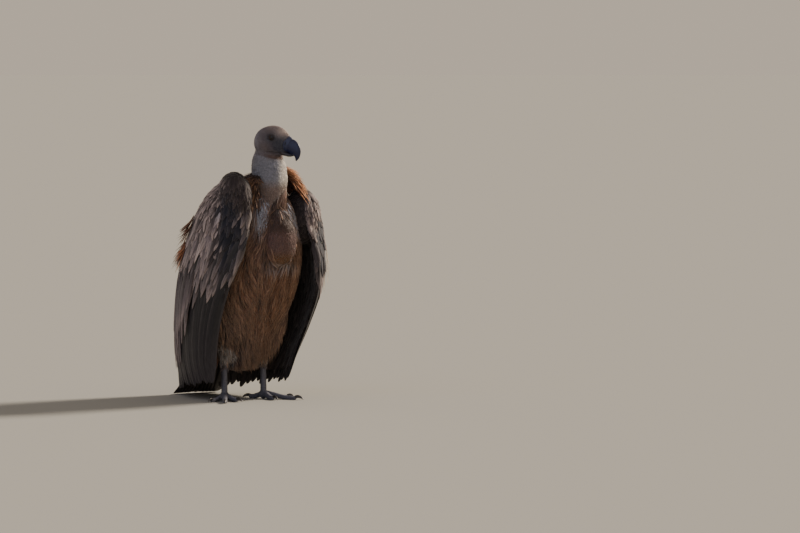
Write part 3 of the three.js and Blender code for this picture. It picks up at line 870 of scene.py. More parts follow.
def skin_finish():
    """Bare skin: marking colour, mottling a few millimetres wide, plates and scales as relief, and painted
    shade in the grooves between them.
    """
    material, tree, shader = finish("skin")
    place = add(tree, "TexCoord").outputs["Object"]
    coat = add(tree, "Attribute", attribute_name="coat").outputs["Color"]
    plate = add(tree, "Attribute", attribute_name="plates").outputs["Vector"]
    part = add(tree, "SeparateXYZ", {"Vector": plate})
    mottle = add(tree, "TexNoise", {"Vector": place, "Scale": 260.0, "Detail": 4.0, "Roughness": 0.6})
    shade = add(tree, "MapRange", {"Value": mottle, "To Min": 0.6, "To Max": 1.4})
    net = add(tree, "TexVoronoi", {"Vector": place, "Scale": 480.0}, feature="DISTANCE_TO_EDGE")
    scales = add(tree, "MapRange", {"Value": net.outputs["Distance"], "From Max": 0.25})
    wave = add(tree, "Math", {0: part.outputs["X"], 1: np.pi}, operation="MULTIPLY")
    curve = add(tree, "Math", {0: wave}, operation="SINE")
    ridge = add(tree, "Math", {0: curve}, operation="ABSOLUTE")
    crest = add(tree, "Math", {0: ridge, 1: 0.35}, operation="POWER")
    leg = add(tree, "Mix", {"Factor": part.outputs["Y"], "A": scales, "B": crest})
    relief = add(tree, "Math", {0: leg, 1: part.outputs["Z"]}, operation="MULTIPLY")
    both = add(tree, "Math", {0: mottle, 1: relief}, operation="ADD")
    bump = add(tree, "Bump", {"Height": both, "Distance": BUMP_STEP, "Strength": 0.8})
    # Painted shade: the grooves between the leg's plates and scales are darkened, to 0.72 at the deepest.
    painted_crease_shade = add(tree, "MapRange", {"Value": relief, "From Max": 0.6, "To Min": 0.72})
    legs_only = add(tree, "Mix", {"Factor": part.outputs["Z"], "A": 1.0, "B": painted_crease_shade})
    tone = add(tree, "Math", {0: shade, 1: legs_only}, operation="MULTIPLY")
    shaded = add(tree, "VectorMath", {0: coat, "Scale": tone}, operation="SCALE")
    feed(tree, shader, {"Base Color": shaded, "Normal": bump, "Roughness": 0.55, "IOR": 1.4})
    return material


finished(skin, skin_finish(), "skin", "head", "neck", "crop", "trunk", "mantle", "thigh_left", "thigh_right",
         "shank_left", "shank_right", "foot_left", "foot_right")

# %% [markdown]
# ## Eyes, bill and claws
#
# A vulture's eye is a ball of which the lids show only the front. The young bird's iris is dark brown round a
# large black pupil, under a clear wet cornea. Each point keeps its angle from the gaze, so the rings of
# colour are drawn by that angle.

# %% Eyes


def eyeball(side):
    """A ball whose pole is the gaze, with a low bulge over the iris. v runs from the back to the gaze."""
    gaze = unit(np.array([0.24, side * 1.0, 0.05]))
    across = unit(np.cross(gaze, [0.0, 0.0, 1.0]))
    over = np.cross(across, gaze)

    def ball(u, v):
        u, v = np.broadcast_arrays(u, v)
        angle = np.pi * (1 - v)
        out = EYE["radius"] + 0.5 * np.exp(-(angle / 0.5) ** 2)
        ring = out * np.sin(angle)
        cosine, sine = circle(u)
        parts = (ring * cosine)[..., None] * across + (ring * sine)[..., None] * over
        parts = parts + (out * np.cos(angle))[..., None] * gaze
        return in_head(*np.moveaxis(parts + (EYE["forward"], side * EYE["side"], EYE["up"]), -1, 0))
    return ball, gaze


def eye_finish():
    """Wet eye: black pupil, brown iris with fine spokes, darker rim, and a clear glossy coat."""
    material, tree, shader = finish("wet_eye")
    angle = add(tree, "Attribute", attribute_name="gaze").outputs["Fac"]
    place = add(tree, "TexCoord").outputs["Object"]
    spokes = add(tree, "TexNoise", {"Vector": place, "Scale": 900.0, "Detail": 3.0})
    wobble = add(tree, "Math", {0: spokes, 1: 0.06, 2: angle}, operation="MULTIPLY_ADD")
    ramp = add(tree, "ValToRGB", {"Fac": wobble})
    stops = ramp.color_ramp.elements
    stops[0].position, stops[0].color = 0.27, paint("050405")
    stops[1].position, stops[1].color = 0.31, paint("22140d")
    for position, hexed in ((0.44, "2c1a10"), (0.52, "120b08"), (0.6, "0a0707")):
        stops.new(position).color = paint(hexed)
    feed(tree, shader, {
        "Base Color": ramp, "Roughness": 0.08, "IOR": 1.34, "Coat Weight": 0.15, "Coat Roughness": 0.02,
    })
    return material


EYE_FINISH = eye_finish()
for name, side in (("right", -1), ("left", 1)):
    ball, gaze = eyeball(side)
    mesh = new_mesh(f"eyeball_{name}", *closed_grid(ball, 48, 40, flip=side < 0))
    away = points_of(mesh) - in_head(EYE["forward"], side * EYE["side"], EYE["up"])
    angles = np.arccos(np.clip(unit(away) @ (gaze @ HEAD_AXES), -1, 1)) / (np.pi / 2)
    give(mesh, "gaze", "FLOAT", angles)
    finished(shown(f"eyeball_{name}", mesh), EYE_FINISH, "eye", f"eye_{name}")

# %% [markdown]
# The bill is horn over bone: deep, narrow, and hooked over the lower bill. Its section is an oval whose top
# is pinched to a ridge, carried along the bill's curve.

# %% Bill
BILL_UPPER = dict(
    forward=[36, 53, 68, 79, 84.5, 84], up=[4.5, 3.5, 0, -8, -19, -30],
    tall=[20.5, 19.5, 18.5, 14.5, 8, 1.8], wide=[14, 13, 11.5, 8.8, 5, 1.2], blunt=0.12, pinch=0.3,
)
BILL_LOWER = dict(
    forward=[34, 48, 61, 73], up=[-20.5, -20.5, -20.8, -19],
    tall=[8.5, 6.5, 4.8, 2.5], wide=[12.5, 10.5, 8, 3], blunt=0.3, pinch=0.0,
)


def bill_form(bill, start, stop, swell=0.0):
    """An oval section along the bill's curve from start to stop: tall times the sine of u, and wide times its
    cosine, which the pinch narrows towards the top."""
    def form(u, v):
        u, v = np.broadcast_arrays(u, v)
        t = start + (stop - start) * evened(v)
        close, (cosine, sine) = closing(v, bill["blunt"]), circle(u)
        step = 0.01
        rise = through(bill["up"], t + step) - through(bill["up"], t - step)
        run = through(bill["forward"], t + step) - through(bill["forward"], t - step)
        slope = np.arctan2(rise, run)
        tall = sine * (through(bill["tall"], t) + swell) * close
        narrow = 1 - bill["pinch"] * (0.5 + 0.5 * sine) ** 2.5
        side = cosine * (through(bill["wide"], t) + swell) * close * narrow
        forward = through(bill["forward"], t) - np.sin(slope) * tall
        return in_head(forward, side, through(bill["up"], t) + np.cos(slope) * tall)
    return form


print("tip of the bill:", bill_form(BILL_UPPER, 0.2, 1.0)(0.0, 1.0).round(1), "mm")

# %% [markdown]
# Horn grows from its root and wears at its tip, so each point keeps its share of the way along. Bill and
# claws share one kind of graph.

# %% Horn


def horn_finish(name, dark, pale, tip_from, tip_to):
    """Horn: dark keratin that pales towards a tip, with fine growth lines across it and a dull polish."""
    material, tree, shader = finish(name)
    place = add(tree, "TexCoord").outputs["Object"]
    along = add(tree, "Attribute", attribute_name="along").outputs["Fac"]
    tip = add(tree, "MapRange", {"Value": along, "From Min": tip_from, "From Max": tip_to})
    cloud = add(tree, "TexNoise", {"Vector": place, "Scale": 160.0, "Detail": 5.0, "Roughness": 0.6})
    base = add(tree, "Mix", {"Factor": tip, "A": paint(dark), "B": paint(pale)}, data_type="RGBA")
    worn = add(tree, "MapRange", {
        "Value": cloud, "From Min": 0.3, "From Max": 0.7, "To Min": 0.8, "To Max": 1.25,
    })
    shade = add(tree, "VectorMath", {0: base.outputs[2], "Scale": worn}, operation="SCALE")
    lines = add(tree, "Math", {0: along, 1: 200.0}, operation="MULTIPLY")
    bent = add(tree, "Math", {0: cloud, 1: 9.0, 2: lines}, operation="MULTIPLY_ADD")
    growth = add(tree, "Math", {0: bent}, operation="SINE")
    height = add(tree, "Math", {0: growth, 1: 0.03, 2: cloud}, operation="MULTIPLY_ADD")
    bump = add(tree, "Bump", {"Height": height, "Distance": 0.0004, "Strength": 0.4})
    rough = add(tree, "MapRange", {"Value": cloud, "To Min": 0.3, "To Max": 0.5})
    feed(tree, shader, {"Base Color": shade, "Normal": bump, "Roughness": rough, "IOR": 1.45})
    return material


def ring_shares(around, steps):
    """For each point of a closed grid, its share of the way along."""
    return np.concatenate([np.repeat(np.linspace(0, 1, steps + 1)[1:-1], around), [0.0, 1.0]])


def bill_piece(name, form, size, material, slot, node):
    """A bill piece as a fine closed mesh that keeps each point's share of the way along."""
    around, steps = size
    points, quads, tris = closed_grid(form, around, steps)
    mesh = new_mesh(name, points, quads, tris)
    give(mesh, "along", "FLOAT", ring_shares(around, steps))
    return finished(shown(name, mesh), material, slot, node)


# The upper bill's horn is its own blue-black, made bluer as a painted reflection of the sky.
HORN = horn_finish("bill_horn", "0c1436", "23283f", 0.7, 0.98)
LOWER_HORN = horn_finish("lower_bill_horn", "352b2b", "232329", 0.2, 0.7)
bill_piece("upper_bill", bill_form(BILL_UPPER, 0.2, 1.0), (48, 56), HORN, "horn", "bill_upper")
bill_piece("lower_bill", bill_form(BILL_LOWER, 0.0, 1.0), (36, 36), LOWER_HORN, "horn", "bill_lower")

# %% [markdown]
# The cere is the band of waxy skin at the bill's root, so it takes the bill's own curve, a little swollen.
# The nostrils are upright slits, cut out of it by a boolean, because painted ones would look flat from the
# side.

# %% Cere and nostrils


def cere_finish():
    """Waxy skin: blue-grey, partly its own colour and partly a painted reflection of the sky, finely
    wrinkled, with a soft shine.
    """
    material, tree, shader = finish("cere_skin")
    place = add(tree, "TexCoord").outputs["Object"]
    cloud = add(tree, "TexNoise", {"Vector": place, "Scale": 220.0, "Detail": 5.0, "Roughness": 0.65})
    ramp = add(tree, "ValToRGB", {"Fac": cloud})
    stops = ramp.color_ramp.elements
    # Blue-grey: the cere's own colour, made bluer as a painted reflection of the sky.
    stops[0].position, stops[0].color = 0.3, paint("111836")
    stops[1].position, stops[1].color = 0.75, paint("1f2848")
    bump = add(tree, "Bump", {"Height": cloud, "Distance": 0.001, "Strength": 0.6})
    feed(tree, shader, {"Base Color": ramp, "Normal": bump, "Roughness": 0.42})
    return material


NOSTRIL = dict(forward=50.0, side=12.6, up=6.5, radii=(1.7, 4.0, 5.0))


def nostril(side):
    """An upright slit-shaped ball that is cut into the cere."""
    centre = np.array([NOSTRIL["forward"], side * NOSTRIL["side"], NOSTRIL["up"]])
    return lambda u, v: in_head(*np.moveaxis(centre + unit_ball(u, v) * NOSTRIL["radii"], -1, 0))


cere_form = bill_form(BILL_UPPER, -0.06, 0.262, swell=0.8)
slits = [
    shown("slit", new_mesh("slit", *closed_grid(nostril(side), 56, 40, flip=True))) for side in (-1, 1)
]
whole = shown("cere_band", new_mesh("cere_band", *closed_grid(cere_form, 96, 60)))
cere = combined(whole, slits, "DIFFERENCE")
cere.data.shade_smooth()
cere.data.set_sharp_from_angle(angle=np.radians(35))
finished(cere, cere_finish(), "cere", "cere")

# %% [markdown]
# Inside, the nostrils are moist, and their walls are painted near black as the shade deep in the slit. Their
# walls are the faces whose middles lie on the slit's own surface.

# %% Walls of the nostrils
# The slit's walls: near black as painted shade deep in the hole, with a moist shine.
nostril_painted_shade, tree, shader = finish("moist_nostril_painted_shade")
feed(tree, shader, {"Base Color": paint("08090d"), "Roughness": 0.5})
cere.data.materials.append(nostril_painted_shade)
face_middles = np.zeros(len(cere.data.polygons) * 3, np.float32)
cere.data.polygons.foreach_get("center", face_middles)
forward, left, up = head_parts(unplaced(face_middles.reshape(-1, 3).astype(float)))
reach_of_slit = np.linalg.norm(np.stack([
    forward - NOSTRIL["forward"], np.abs(left) - NOSTRIL["side"], up - NOSTRIL["up"],
]) / np.array(NOSTRIL["radii"])[:, None], axis=0)
cere.data.polygons.foreach_set("material_index", (reach_of_slit < 1.05).astype(np.int32))
print("nostril walls:", int((reach_of_slit < 1.05).sum()), "faces")

# %% [markdown]
# The claws are blunt in a vulture, which walks on them, but still strongly curved. Each is a tapering limb
# that grows from the end of its toe and bends down to the floor.

# %% Claws


def claw_parts(side, toe):
    """One claw as points and faces, with each point's share of the way to its tip."""
    start, claw = toe["length"] - 6, toe["claw"]
    stops = [(start, 7.2), (start + 0.4 * claw, 8.8), (start + 0.76 * claw, 6.2), (start + 0.98 * claw, 1.5)]
    form = dict(
        path=toe_path(side, toe, stops), across=toe_frame(side, toe)[2], blunt=0.2,
        wide=[3.6, 3.3, 2.3, 0.8], deep=[4.2, 3.9, 2.6, 0.9],
    )
    points, quads, tris = grid_of(form, 18, 22)
    points[:, 2] = np.maximum(points[:, 2], 0)
    return (points, quads, tris), ring_shares(18, 22)


claw_made = [claw_parts(side, toe) for side in (-1, 1) for toe in TOES.values()]
claw_mesh = new_mesh("claws", *together([part for part, _ in claw_made]))
give(claw_mesh, "along", "FLOAT", np.concatenate([along for _, along in claw_made]))
finished(
    shown("claws", claw_mesh), horn_finish("claw_horn", "2c2928", "4a4441", 0.5, 1.0), "claw",
    *[f"claw_{name}_{toe}" for name in ("right", "left") for toe in TOES],
)

# %% [markdown]
# ## Feathers
#
# Every feather is a thin closed vane. Its middle line lies on the surface below it and rises towards the tip,
# so that it covers the root of the next one. All the feathers of a tract are worked out together as arrays,
# so ten thousand tufts cost no more code than one.
#
# A surface is read with a Shrinkwrap modifier, which moves loose points to the nearest place on it. Done
# twice, the second time a millimetre higher, it also gives the outward direction.

# %% Lying on a surface


def laid_on(bed, points):
    """The nearest places on the bed to the points, and the bed's outward directions there."""
    mesh = bpy.data.meshes.new("probe")
    mesh.vertices.add(len(points))
    mesh.vertices.foreach_set("co", placed(points).astype(np.float32).ravel())
    probe = shown("probe", mesh)
    wrap = probe.modifiers.new("wrap", "SHRINKWRAP")
    wrap.target = bed
    wrap.wrap_method = "NEAREST_SURFACEPOINT"
    wrap.wrap_mode = "ABOVE_SURFACE"
    found = []
    for offset in (0.0, MM):
        wrap.offset = offset
        found.append(points_of(evaluated(probe)))
    bpy.data.objects.remove(probe)
    return found[0], unit(found[1] - found[0])


def lines_on(bed, lines):
    """Middle lines moved to the nearest places on the bed, and the bed's outward directions along them."""
    places, outs = laid_on(bed, lines.reshape(-1, 3))
    return places.reshape(lines.shape), outs.reshape(lines.shape)


def on_skin(bed, roots, ways, long, stations):
    """Middle lines that start at the roots, head the given ways and follow the bed."""
    return lines_on(bed, roots[:, None] + ways[:, None] * (long[:, None] * stations)[..., None])


print("the breast faces", laid_on(skin, np.array([[0.0, -400.0, 300.0]]))[1].round(2))

# %% [markdown]
# Feathers grow at nearly even distances, denser in some regions. Their roots are drawn over the triangles of
# the skin by area and density.

# %% Roots


def scattered(bed, density, seed):
    """Places spread over the bed's triangles, and the outward direction of each one's triangle. A triangle's
    share is its area times the density at its middle, in places for each square millimetre."""
    draw = np.random.default_rng(seed)
    mesh = bed.data
    mesh.calc_loop_triangles()
    corners = np.zeros(len(mesh.loop_triangles) * 3, np.int32)
    mesh.loop_triangles.foreach_get("vertices", corners)
    points = points_of(mesh)[corners.reshape(-1, 3)]
    cross = np.cross(points[:, 1] - points[:, 0], points[:, 2] - points[:, 0])
    size = np.linalg.norm(cross, axis=1)
    total = np.cumsum(size / 2 * density(points.mean(1), cross / np.maximum(size, 1e-9)[:, None]))
    count = int(total[-1])
    picked = np.searchsorted(total, (np.arange(count) + draw.random(count)) * total[-1] / count)
    picked = np.minimum(picked, len(total) - 1)
    s, t = draw.random((2, count))
    over = s + t > 1
    s, t = np.where(over, 1 - s, s)[:, None], np.where(over, 1 - t, t)[:, None]
    a, b, c = points[picked].transpose(1, 0, 2)
    return a + s * (b - a) + t * (c - a), unit(cross[picked])


sparse, _ = scattered(skin, lambda points, outs: 0.001 * np.ones(len(points)), seed=1)
print("places, one to 10 square centimetres of skin:", len(sparse))

# %% [markdown]
# An outline gives a feather's half width along its length: a lance is widest at a third and ends in a fine
# point, a pointed vane is widest in its middle, and a strap keeps its width almost to the tip. A section
# gives the points of one ring: how far across each lies, from -1 to 1, and how much of the vane's thickness
# it has.

# %% Outlines and sections
TUFT = np.array([(-1, 0), (0, 1), (1, 0)])
VANE = np.array([(-1, 0), (-0.55, 0.9), (0, 1.3), (0.55, 0.9), (1, 0), (0, -1)])
QUILL = np.array([
    (-1, 0), (-0.94, 0.6), (-0.5, 0.8), (-0.1, 0.9), (0, 2.4), (0.1, 0.9), (0.5, 0.8), (0.94, 0.6),
    (1, 0), (0.4, -0.8), (0, -1.4), (-0.4, -0.8),
])


def lance(s):
    """The sine of half a turn times s to the 0.62, to the power 0.8: widest at a third, pointed at the
    tip."""
    return np.sin(np.pi * np.clip(s, 0, 1) ** 0.62) ** 0.8


def pointed(s):
    """Narrow at the root, widest in the middle, and drawn out to a point: two soft steps multiplied."""
    return np.clip(s / 0.3, 0, 1) ** 0.6 * np.clip((1.002 - s) / 0.5, 0, 1) ** 0.7


def strap(s):
    """A flight feather: a long even band with a bluntly pointed tip."""
    return np.clip(s / 0.1, 0, 1) ** 0.5 * np.clip((1.004 - s) / 0.16, 0, 1) ** 0.55


LANCE_LOOK = dict(section=TUFT, outline=lance)
VANE_LOOK = dict(section=VANE, outline=pointed, thick=0.6)
STRAP_LOOK = dict(section=QUILL, outline=strap, thick=0.45, ragged=0.03)
for outline in (lance, pointed, strap):
    print(outline.__name__, "widths along a feather:", outline(np.array([0.05, 0.3, 0.6, 0.95])).round(2))

# %% [markdown]
# Each feather is a row of small rings round its middle line, closed at the root and at the tip. Its colour is
# that of the coat at its root, because a feather is coloured where it grows. It also carries what its finish
# asks for: how far across and along the vane a point lies, and one random tone, so that no two are alike.

# %% Building feathers


def turned(ways, axes, angles):
    """Directions turned about unit axes square to them: way times cosine plus axis cross way times sine."""
    return ways * np.cos(angles)[:, None] + np.cross(axes, ways) * np.sin(angles)[:, None]


def drawn(lines, outs, stations, look, draw):
    """The feathers' points, from their middle lines and the outward directions along them. A ring's points
    are: line + out * height, + side * across * half width, + out * (half width * (camber * (1 - across
    squared) + tilt * across) + thickness share * thick). height grows as the station to the power 1.5, up to
    lift. ragged draws points of the edges in at random."""
    count, rings = len(lines), len(stations) - 2
    section = look["section"]
    ahead = unit(np.gradient(lines, axis=1))
    side = unit(np.cross(ahead, outs))
    outs = np.cross(side, ahead)
    lift = look["lift"][:, None] * stations ** 1.5 + look.get("base", 0.0)
    lines = lines + outs * lift[..., None]
    half = look["wide"][:, None] / 2 * look["outline"](stations)
    across = section[:, 0] * (1 - look.get("ragged", 0.0) * draw.random((count, rings, len(section))))
    half, side, out = half[:, 1:-1, None], side[:, 1:-1, None], outs[:, 1:-1, None]
    bend = look["camber"] * (1 - across ** 2) + look.get("tilt", 0.0) * across
    rise = half * bend + section[:, 1] * look["thick"]
    body = lines[:, 1:-1, None] + side * (across * half)[..., None] + out * rise[..., None]
    return np.concatenate([body.reshape(count, -1, 3), lines[:, :1], lines[:, -1:]], 1)


def ring_faces(count, rings, around):
    """The faces of `count` closed feathers of `rings` rings: squares between rings, and a fan at each end."""
    at = np.arange(rings * around).reshape(rings, around)
    on = np.roll(at, -1, 1)
    quads = np.stack([at[:-1], on[:-1], on[1:], at[1:]], -1).reshape(-1, 4)
    root, tip = rings * around, rings * around + 1
    low = np.stack([np.full(around, root), on[0], at[0]], -1)
    high = np.stack([np.full(around, tip), at[-1], on[-1]], -1)
    first = np.arange(count)[:, None, None] * (rings * around + 2)
    return (first + quads).reshape(-1, 4), (first + np.concatenate([low, high])).reshape(-1, 3)


print("faces of one tuft:", [len(faces) for faces in ring_faces(1, 2, len(TUFT))])

# %% [markdown]
# A tract is all the feathers of one kind in one region. They differ in place, length, width and tone, and
# share their section and outline.

# %% Tracts


def tract(lines, outs, stations, colours, unwrap, seed, **look):
    """One kind of feather over one region, with what its finish needs: across and along each vane, as shares
    and in millimetres, a random tone for each feather, the coat's colour and the OFBake map."""
    draw = np.random.default_rng(seed)
    count, rings, section = len(lines), len(stations) - 2, look["section"]
    points = drawn(lines, outs, stations, look, draw)
    quads, tris = ring_faces(count, rings, len(section))
    across = np.concatenate([np.tile(section[:, 0], rings), [0, 0]])
    along = np.concatenate([np.repeat(stations[1:-1], len(section)), [0.0, 1.0]])
    tone = np.repeat(draw.random(count)[:, None], len(along), 1)
    vane = np.stack([across + 0 * tone, along + 0 * tone, tone], -1)
    length = np.linalg.norm(np.diff(lines, axis=1), axis=-1).sum(1)
    barbs = np.stack([across * look["wide"][:, None] / 2, along * length[:, None], tone * 100], -1)
    span = look.get("patch", (0.003, 0.003))
    bake = unwrap[:, None] + np.stack([across * span[0] / 2, (along - 0.5) * span[1]], -1)
    return dict(
        points=points.reshape(-1, 3), quads=quads, tris=tris,
        vane=vane.reshape(-1, 3), barbs=barbs.reshape(-1, 3),
        coat=np.repeat(colours, len(along), 0), bake=bake.reshape(-1, 2),
    )


print("the look of a vane:", [*VANE_LOOK])

# %% [markdown]
# A coat piece is one mesh of one or more tracts. On its OFBake map each feather has a small patch, placed by
# where its root lies on the unrolled body, or a strip of its own if it is long.

# %% Coat pieces


def coat_piece(name, tracts, material, slot, *nodes):
    """The tracts as one piece, with the attributes that its finish reads and its OFBake map."""
    points, quads, tris = together([(each["points"], each["quads"], each["tris"]) for each in tracts])
    mesh = new_mesh(name, points, quads, tris)
    for key, kind in (("vane", "FLOAT_VECTOR"), ("barbs", "FLOAT_VECTOR")):
        give(mesh, key, kind, np.concatenate([each[key] for each in tracts]))
    give(mesh, "coat", "FLOAT_COLOR", np.concatenate([each["coat"] for each in tracts]))
    bake = np.clip(np.concatenate([each["bake"] for each in tracts]), 0.001, 0.999)
    corners = np.zeros(len(mesh.loops), np.int32)
    mesh.loops.foreach_get("vertex_index", corners)
    layer = mesh.uv_layers.new(name="OFBake")
    layer.data.foreach_set("uv", bake[corners].astype(np.float32).ravel())
    return finished(shown(name, mesh), material, slot, *nodes)


def round_unwrap(points, centre, low, high):
    """The skin unrolled round an upright line: the angle round it, and the height's share."""
    angle = np.arctan2(points[:, 0] - centre[0], centre[1] - points[:, 1]) / (2 * np.pi) + 0.5
    return np.stack([0.01 + 0.98 * angle, 0.01 + 0.98 * (points[:, 2] - low) / (high - low)], -1)


print("middle of the breast on its map:", round_unwrap(np.array([[0, -170, 310]]), (0, -70), 60, 560))

# %% [markdown]
# One kind of graph finishes every feather. The coat's colour darkens towards the hidden root, partly as the
# feather's own darker base and partly as painted shade under the feathers that cover it, and along the
# shaft. It pales towards the worn tip and edges, and is broken into fine streaks along the barbs. Feathers
# are matt, with a faint velvet sheen.

# %% Feather finish


# Real barbs lie a third of a millimetre apart, too fine to show here, so they are drawn about 1 mm apart.
def feather_finish(
    name, tip, tip_share, shaft, root=0.45, streak=0.5, edge=0.0, rough=0.75, sheen=0.15, pitch=1.0,
    guard=0.0,
):
    """Vane of keratin barbs. tip and tip_share are the worn tip's colour and strength, shaft and root how
    dark those are, the root's darkness partly the feather's own dark base and partly painted shade under the
    feathers above, streak how strong the streaks along the barbs are, and pitch their spacing in mm. guard is
    how much less the darkest feathers wear pale, because dark pigment hardens them."""
    material, tree, shader = finish(name)
    painted = add(tree, "Attribute", attribute_name="coat")
    vane = add(tree, "Attribute", attribute_name="vane").outputs["Vector"]
    barbs = add(tree, "Attribute", attribute_name="barbs").outputs["Vector"]
    part = add(tree, "SeparateXYZ", {"Vector": vane})
    aside = add(tree, "Math", {0: part.outputs["X"]}, operation="ABSOLUTE")
    drawn_out = add(tree, "Mapping", {"Vector": barbs, "Scale": (1.0 / pitch, 0.07 / pitch, 0.37)})
    noise = add(tree, "TexNoise", {"Vector": drawn_out, "Scale": 1.0, "Detail": 3.0, "Roughness": 0.65})
    streaks = add(tree, "MapRange", {
        "Value": noise, "From Min": 0.32, "From Max": 0.68, "To Min": 1 - streak, "To Max": 1 + streak,
    })
    # Painted shade in part: the vane darkens towards its root, which the feathers above it cover.
    root_shade = add(tree, "MapRange", {"Value": part.outputs["Y"], "From Max": 0.6, "To Min": root})
    tones = add(tree, "MapRange", {"Value": part.outputs["Z"], "To Min": 0.72, "To Max": 1.25})
    line = add(tree, "MapRange", {"Value": aside, "From Max": 0.28, "To Min": shaft})
    light = streaks
    for factor in (root_shade, tones, line):
        light = add(tree, "Math", {0: light, 1: factor}, operation="MULTIPLY")
    worn = add(tree, "MapRange", {"Value": part.outputs["Y"], "From Min": 0.55, "To Max": tip_share})
    hem = add(tree, "MapRange", {"Value": aside, "From Min": 0.55, "To Max": edge})
    pale = add(tree, "Math", {0: worn, 1: hem}, operation="MAXIMUM")
    wear = add(tree, "MapRange", {
        "Value": painted.outputs["Fac"], "From Min": 0.03, "From Max": 0.12, "To Min": 1 - guard,
    })
    share = add(tree, "Math", {0: pale, 1: wear}, operation="MULTIPLY")
    mixed = add(tree, "Mix", {"Factor": share, "A": painted, "B": paint(tip)}, data_type="RGBA")
    shade = add(tree, "VectorMath", {0: mixed.outputs[2], "Scale": light}, operation="SCALE")
    bump = add(tree, "Bump", {"Height": noise, "Distance": 0.001, "Strength": 0.5})
    feed(tree, shader, {
        "Base Color": shade, "Normal": bump, "Roughness": rough, "Specular IOR Level": 0.25,
        "Sheen Weight": sheen, "Sheen Roughness": 0.4,
    })
    return material


DOWN = feather_finish("down", "d6d4d6", 0.3, 1.0, root=0.8, streak=0.2, sheen=0.3, rough=0.85)
print("finish of the down:", len(DOWN.node_tree.nodes), "nodes")

# %% [markdown]
# ## Down of the head and neck
#
# The face wears bristly tufts only a few millimetres long, which lie back from the bill, part round the eye
# and turn down over the nape. The neck is woolly: its tufts are longer, softer and stand off a little.

# %% Lie of the down


def eye_gap(points):
    """How many millimetres from the nearer eye a point of the head lies, seen from its side."""
    forward, _, up = head_parts(points)
    return np.hypot(forward - EYE["forward"], (up - EYE["up"]) * 1.1)


def lie_of_down(points):
    """Back from the bill over the head, down towards nape and jaw, and straight down the neck."""
    forward, _, up = head_parts(points)
    back = soft(forward, -44, 10)[:, None]
    head = -FORWARD * (0.25 + back) - UP * (1.1 - 0.85 * back) - UP * 0.5 * soft(-up, 8, 30)[:, None]
    share = is_head(points)[:, None]
    return unit(head * share + np.array([0, 0, -1.0]) * (1 - share))


print("the down of the nape points", lie_of_down(in_head(-40, 0, 0)[None]).round(2))

# %% [markdown]
# Roots are drawn by a density for each square millimetre. Eyelids, mouth and the bill's edge stay bare.

# %% Down


def face_density(points, outs):
    """Tufts for each square millimetre of the head: none on the bill's root, eyelids and mouth."""
    forward = head_parts(points)[0]
    face = soft(eye_gap(points), 9.0, 10.5) * soft(-forward, -51, -46) * (gape(points) < 0.3)
    return 0.66 * face * (is_head(points) > 0.5)


def neck_density(points, outs):
    """Tufts for each square millimetre of the neck."""
    inside = (is_neck(points) > 0.3) * (is_head(points) <= 0.5)
    return 0.42 * soft(points[:, 2], 470, 500) * (1 - is_nape(points)) * inside


def jittered(ways, outs, spread, draw):
    """Ways laid into the surface and turned at random, by a spread in degrees."""
    flat = unit(ways - outs * (ways * outs).sum(-1, keepdims=True))
    return turned(flat, outs, np.radians(spread) * draw.standard_normal(len(flat)))


TUFT_STEPS = np.array([0, 0.18, 0.55, 1.0])


def down_piece(name, density, long, wide, rise, seed):
    """A region of down tufts, as a piece."""
    draw = np.random.default_rng(seed)
    roots, outs = scattered(skin, density, seed + 1)
    size = np.where(eye_gap(roots) < 22, 0.7, 1.0) * draw.uniform(0.75, 1.3, len(roots))
    ways = jittered(lie_of_down(roots), outs, 20, draw)
    lines, line_outs = on_skin(skin, roots, ways, long * size, TUFT_STEPS)
    unwrap = round_unwrap(roots, SKULL_CENTRE, 470, 706)
    return coat_piece(name, [tract(
        lines, line_outs, TUFT_STEPS, markings_and_painted_light(roots), unwrap, seed + 2,
        **LANCE_LOOK, wide=wide * size, lift=rise * size * draw.uniform(0.4, 1.8, len(roots)),
        thick=0.35, camber=0.3,
    )], DOWN, "down")


down_piece("down_of_head", face_density, long=3.9, wide=1.15, rise=0.7, seed=11)
down_piece("down_of_neck", neck_density, long=8.0, wide=1.8, rise=1.8, seed=15)

# %% [markdown]
# ## Breast, belly and thighs
#
# The young bird's breast is covered with narrow, hair-like lances with pale rufous tips. They part round the
# crop, lean together below it, and grow longer towards the belly, where they hang as a fringe between the
# legs.

# %% Breast


def lie_of_breast(points):
    """Down, parting round the crop and closing again below it."""
    x, y, z = points.T
    part = 0.35 * spot((z,), (430,), (60,)) * np.tanh(x / 25) * soft(-y, 100, 160)
    join = -0.22 * soft(z, 60, 160) * soft(-z, -380, -300) * np.tanh(x / 45)
    return unit(np.stack([part + join, 0.25 * soft(y, -40, 40) - 0.05, np.full_like(x, -1.0)], -1))


def wisps(points):
    """How far neighbouring lances lean together: two slow waves down and across the breast."""
    along, z = points @ LEFTWARDS, points[:, 2]
    down, across = np.sin(along / 8 + 2.2 * np.sin(z / 34)), np.sin(along / 19 - z / 27)
    return np.radians(13) * down + np.radians(8) * across


def breast_density(points, outs):
    """Lances for each square millimetre: dense in front and on the legs, sparse under the wings."""
    _, y, z = points.T
    leg = over_leg(points)
    seen = np.maximum(soft(-y, 20, 70), soft(-z, -150, -110))
    shares = (0.012 + 0.046 * seen) * soft(z, 84, 100) * (1 - leg * soft(-z, -150, -125))
    covered = np.maximum(is_crop(points), np.maximum(is_neck(points), is_head(points)))
    back = soft(y, 20, 60) * soft(z, 230, 260)
    return shares * (1 - covered) * (1 - back) * soft(outs[:, 2], -0.9, -0.7)


def sock_density(points, outs):
    """Short soft feathers down to the middle of the shank."""
    z = points[:, 2]
    return 0.13 * over_leg(points) * soft(z, 80, 96) * soft(-z, -178, -160)


print("lances low on the breast point", lie_of_breast(np.array([[40.0, -150.0, 250.0]])).round(2))

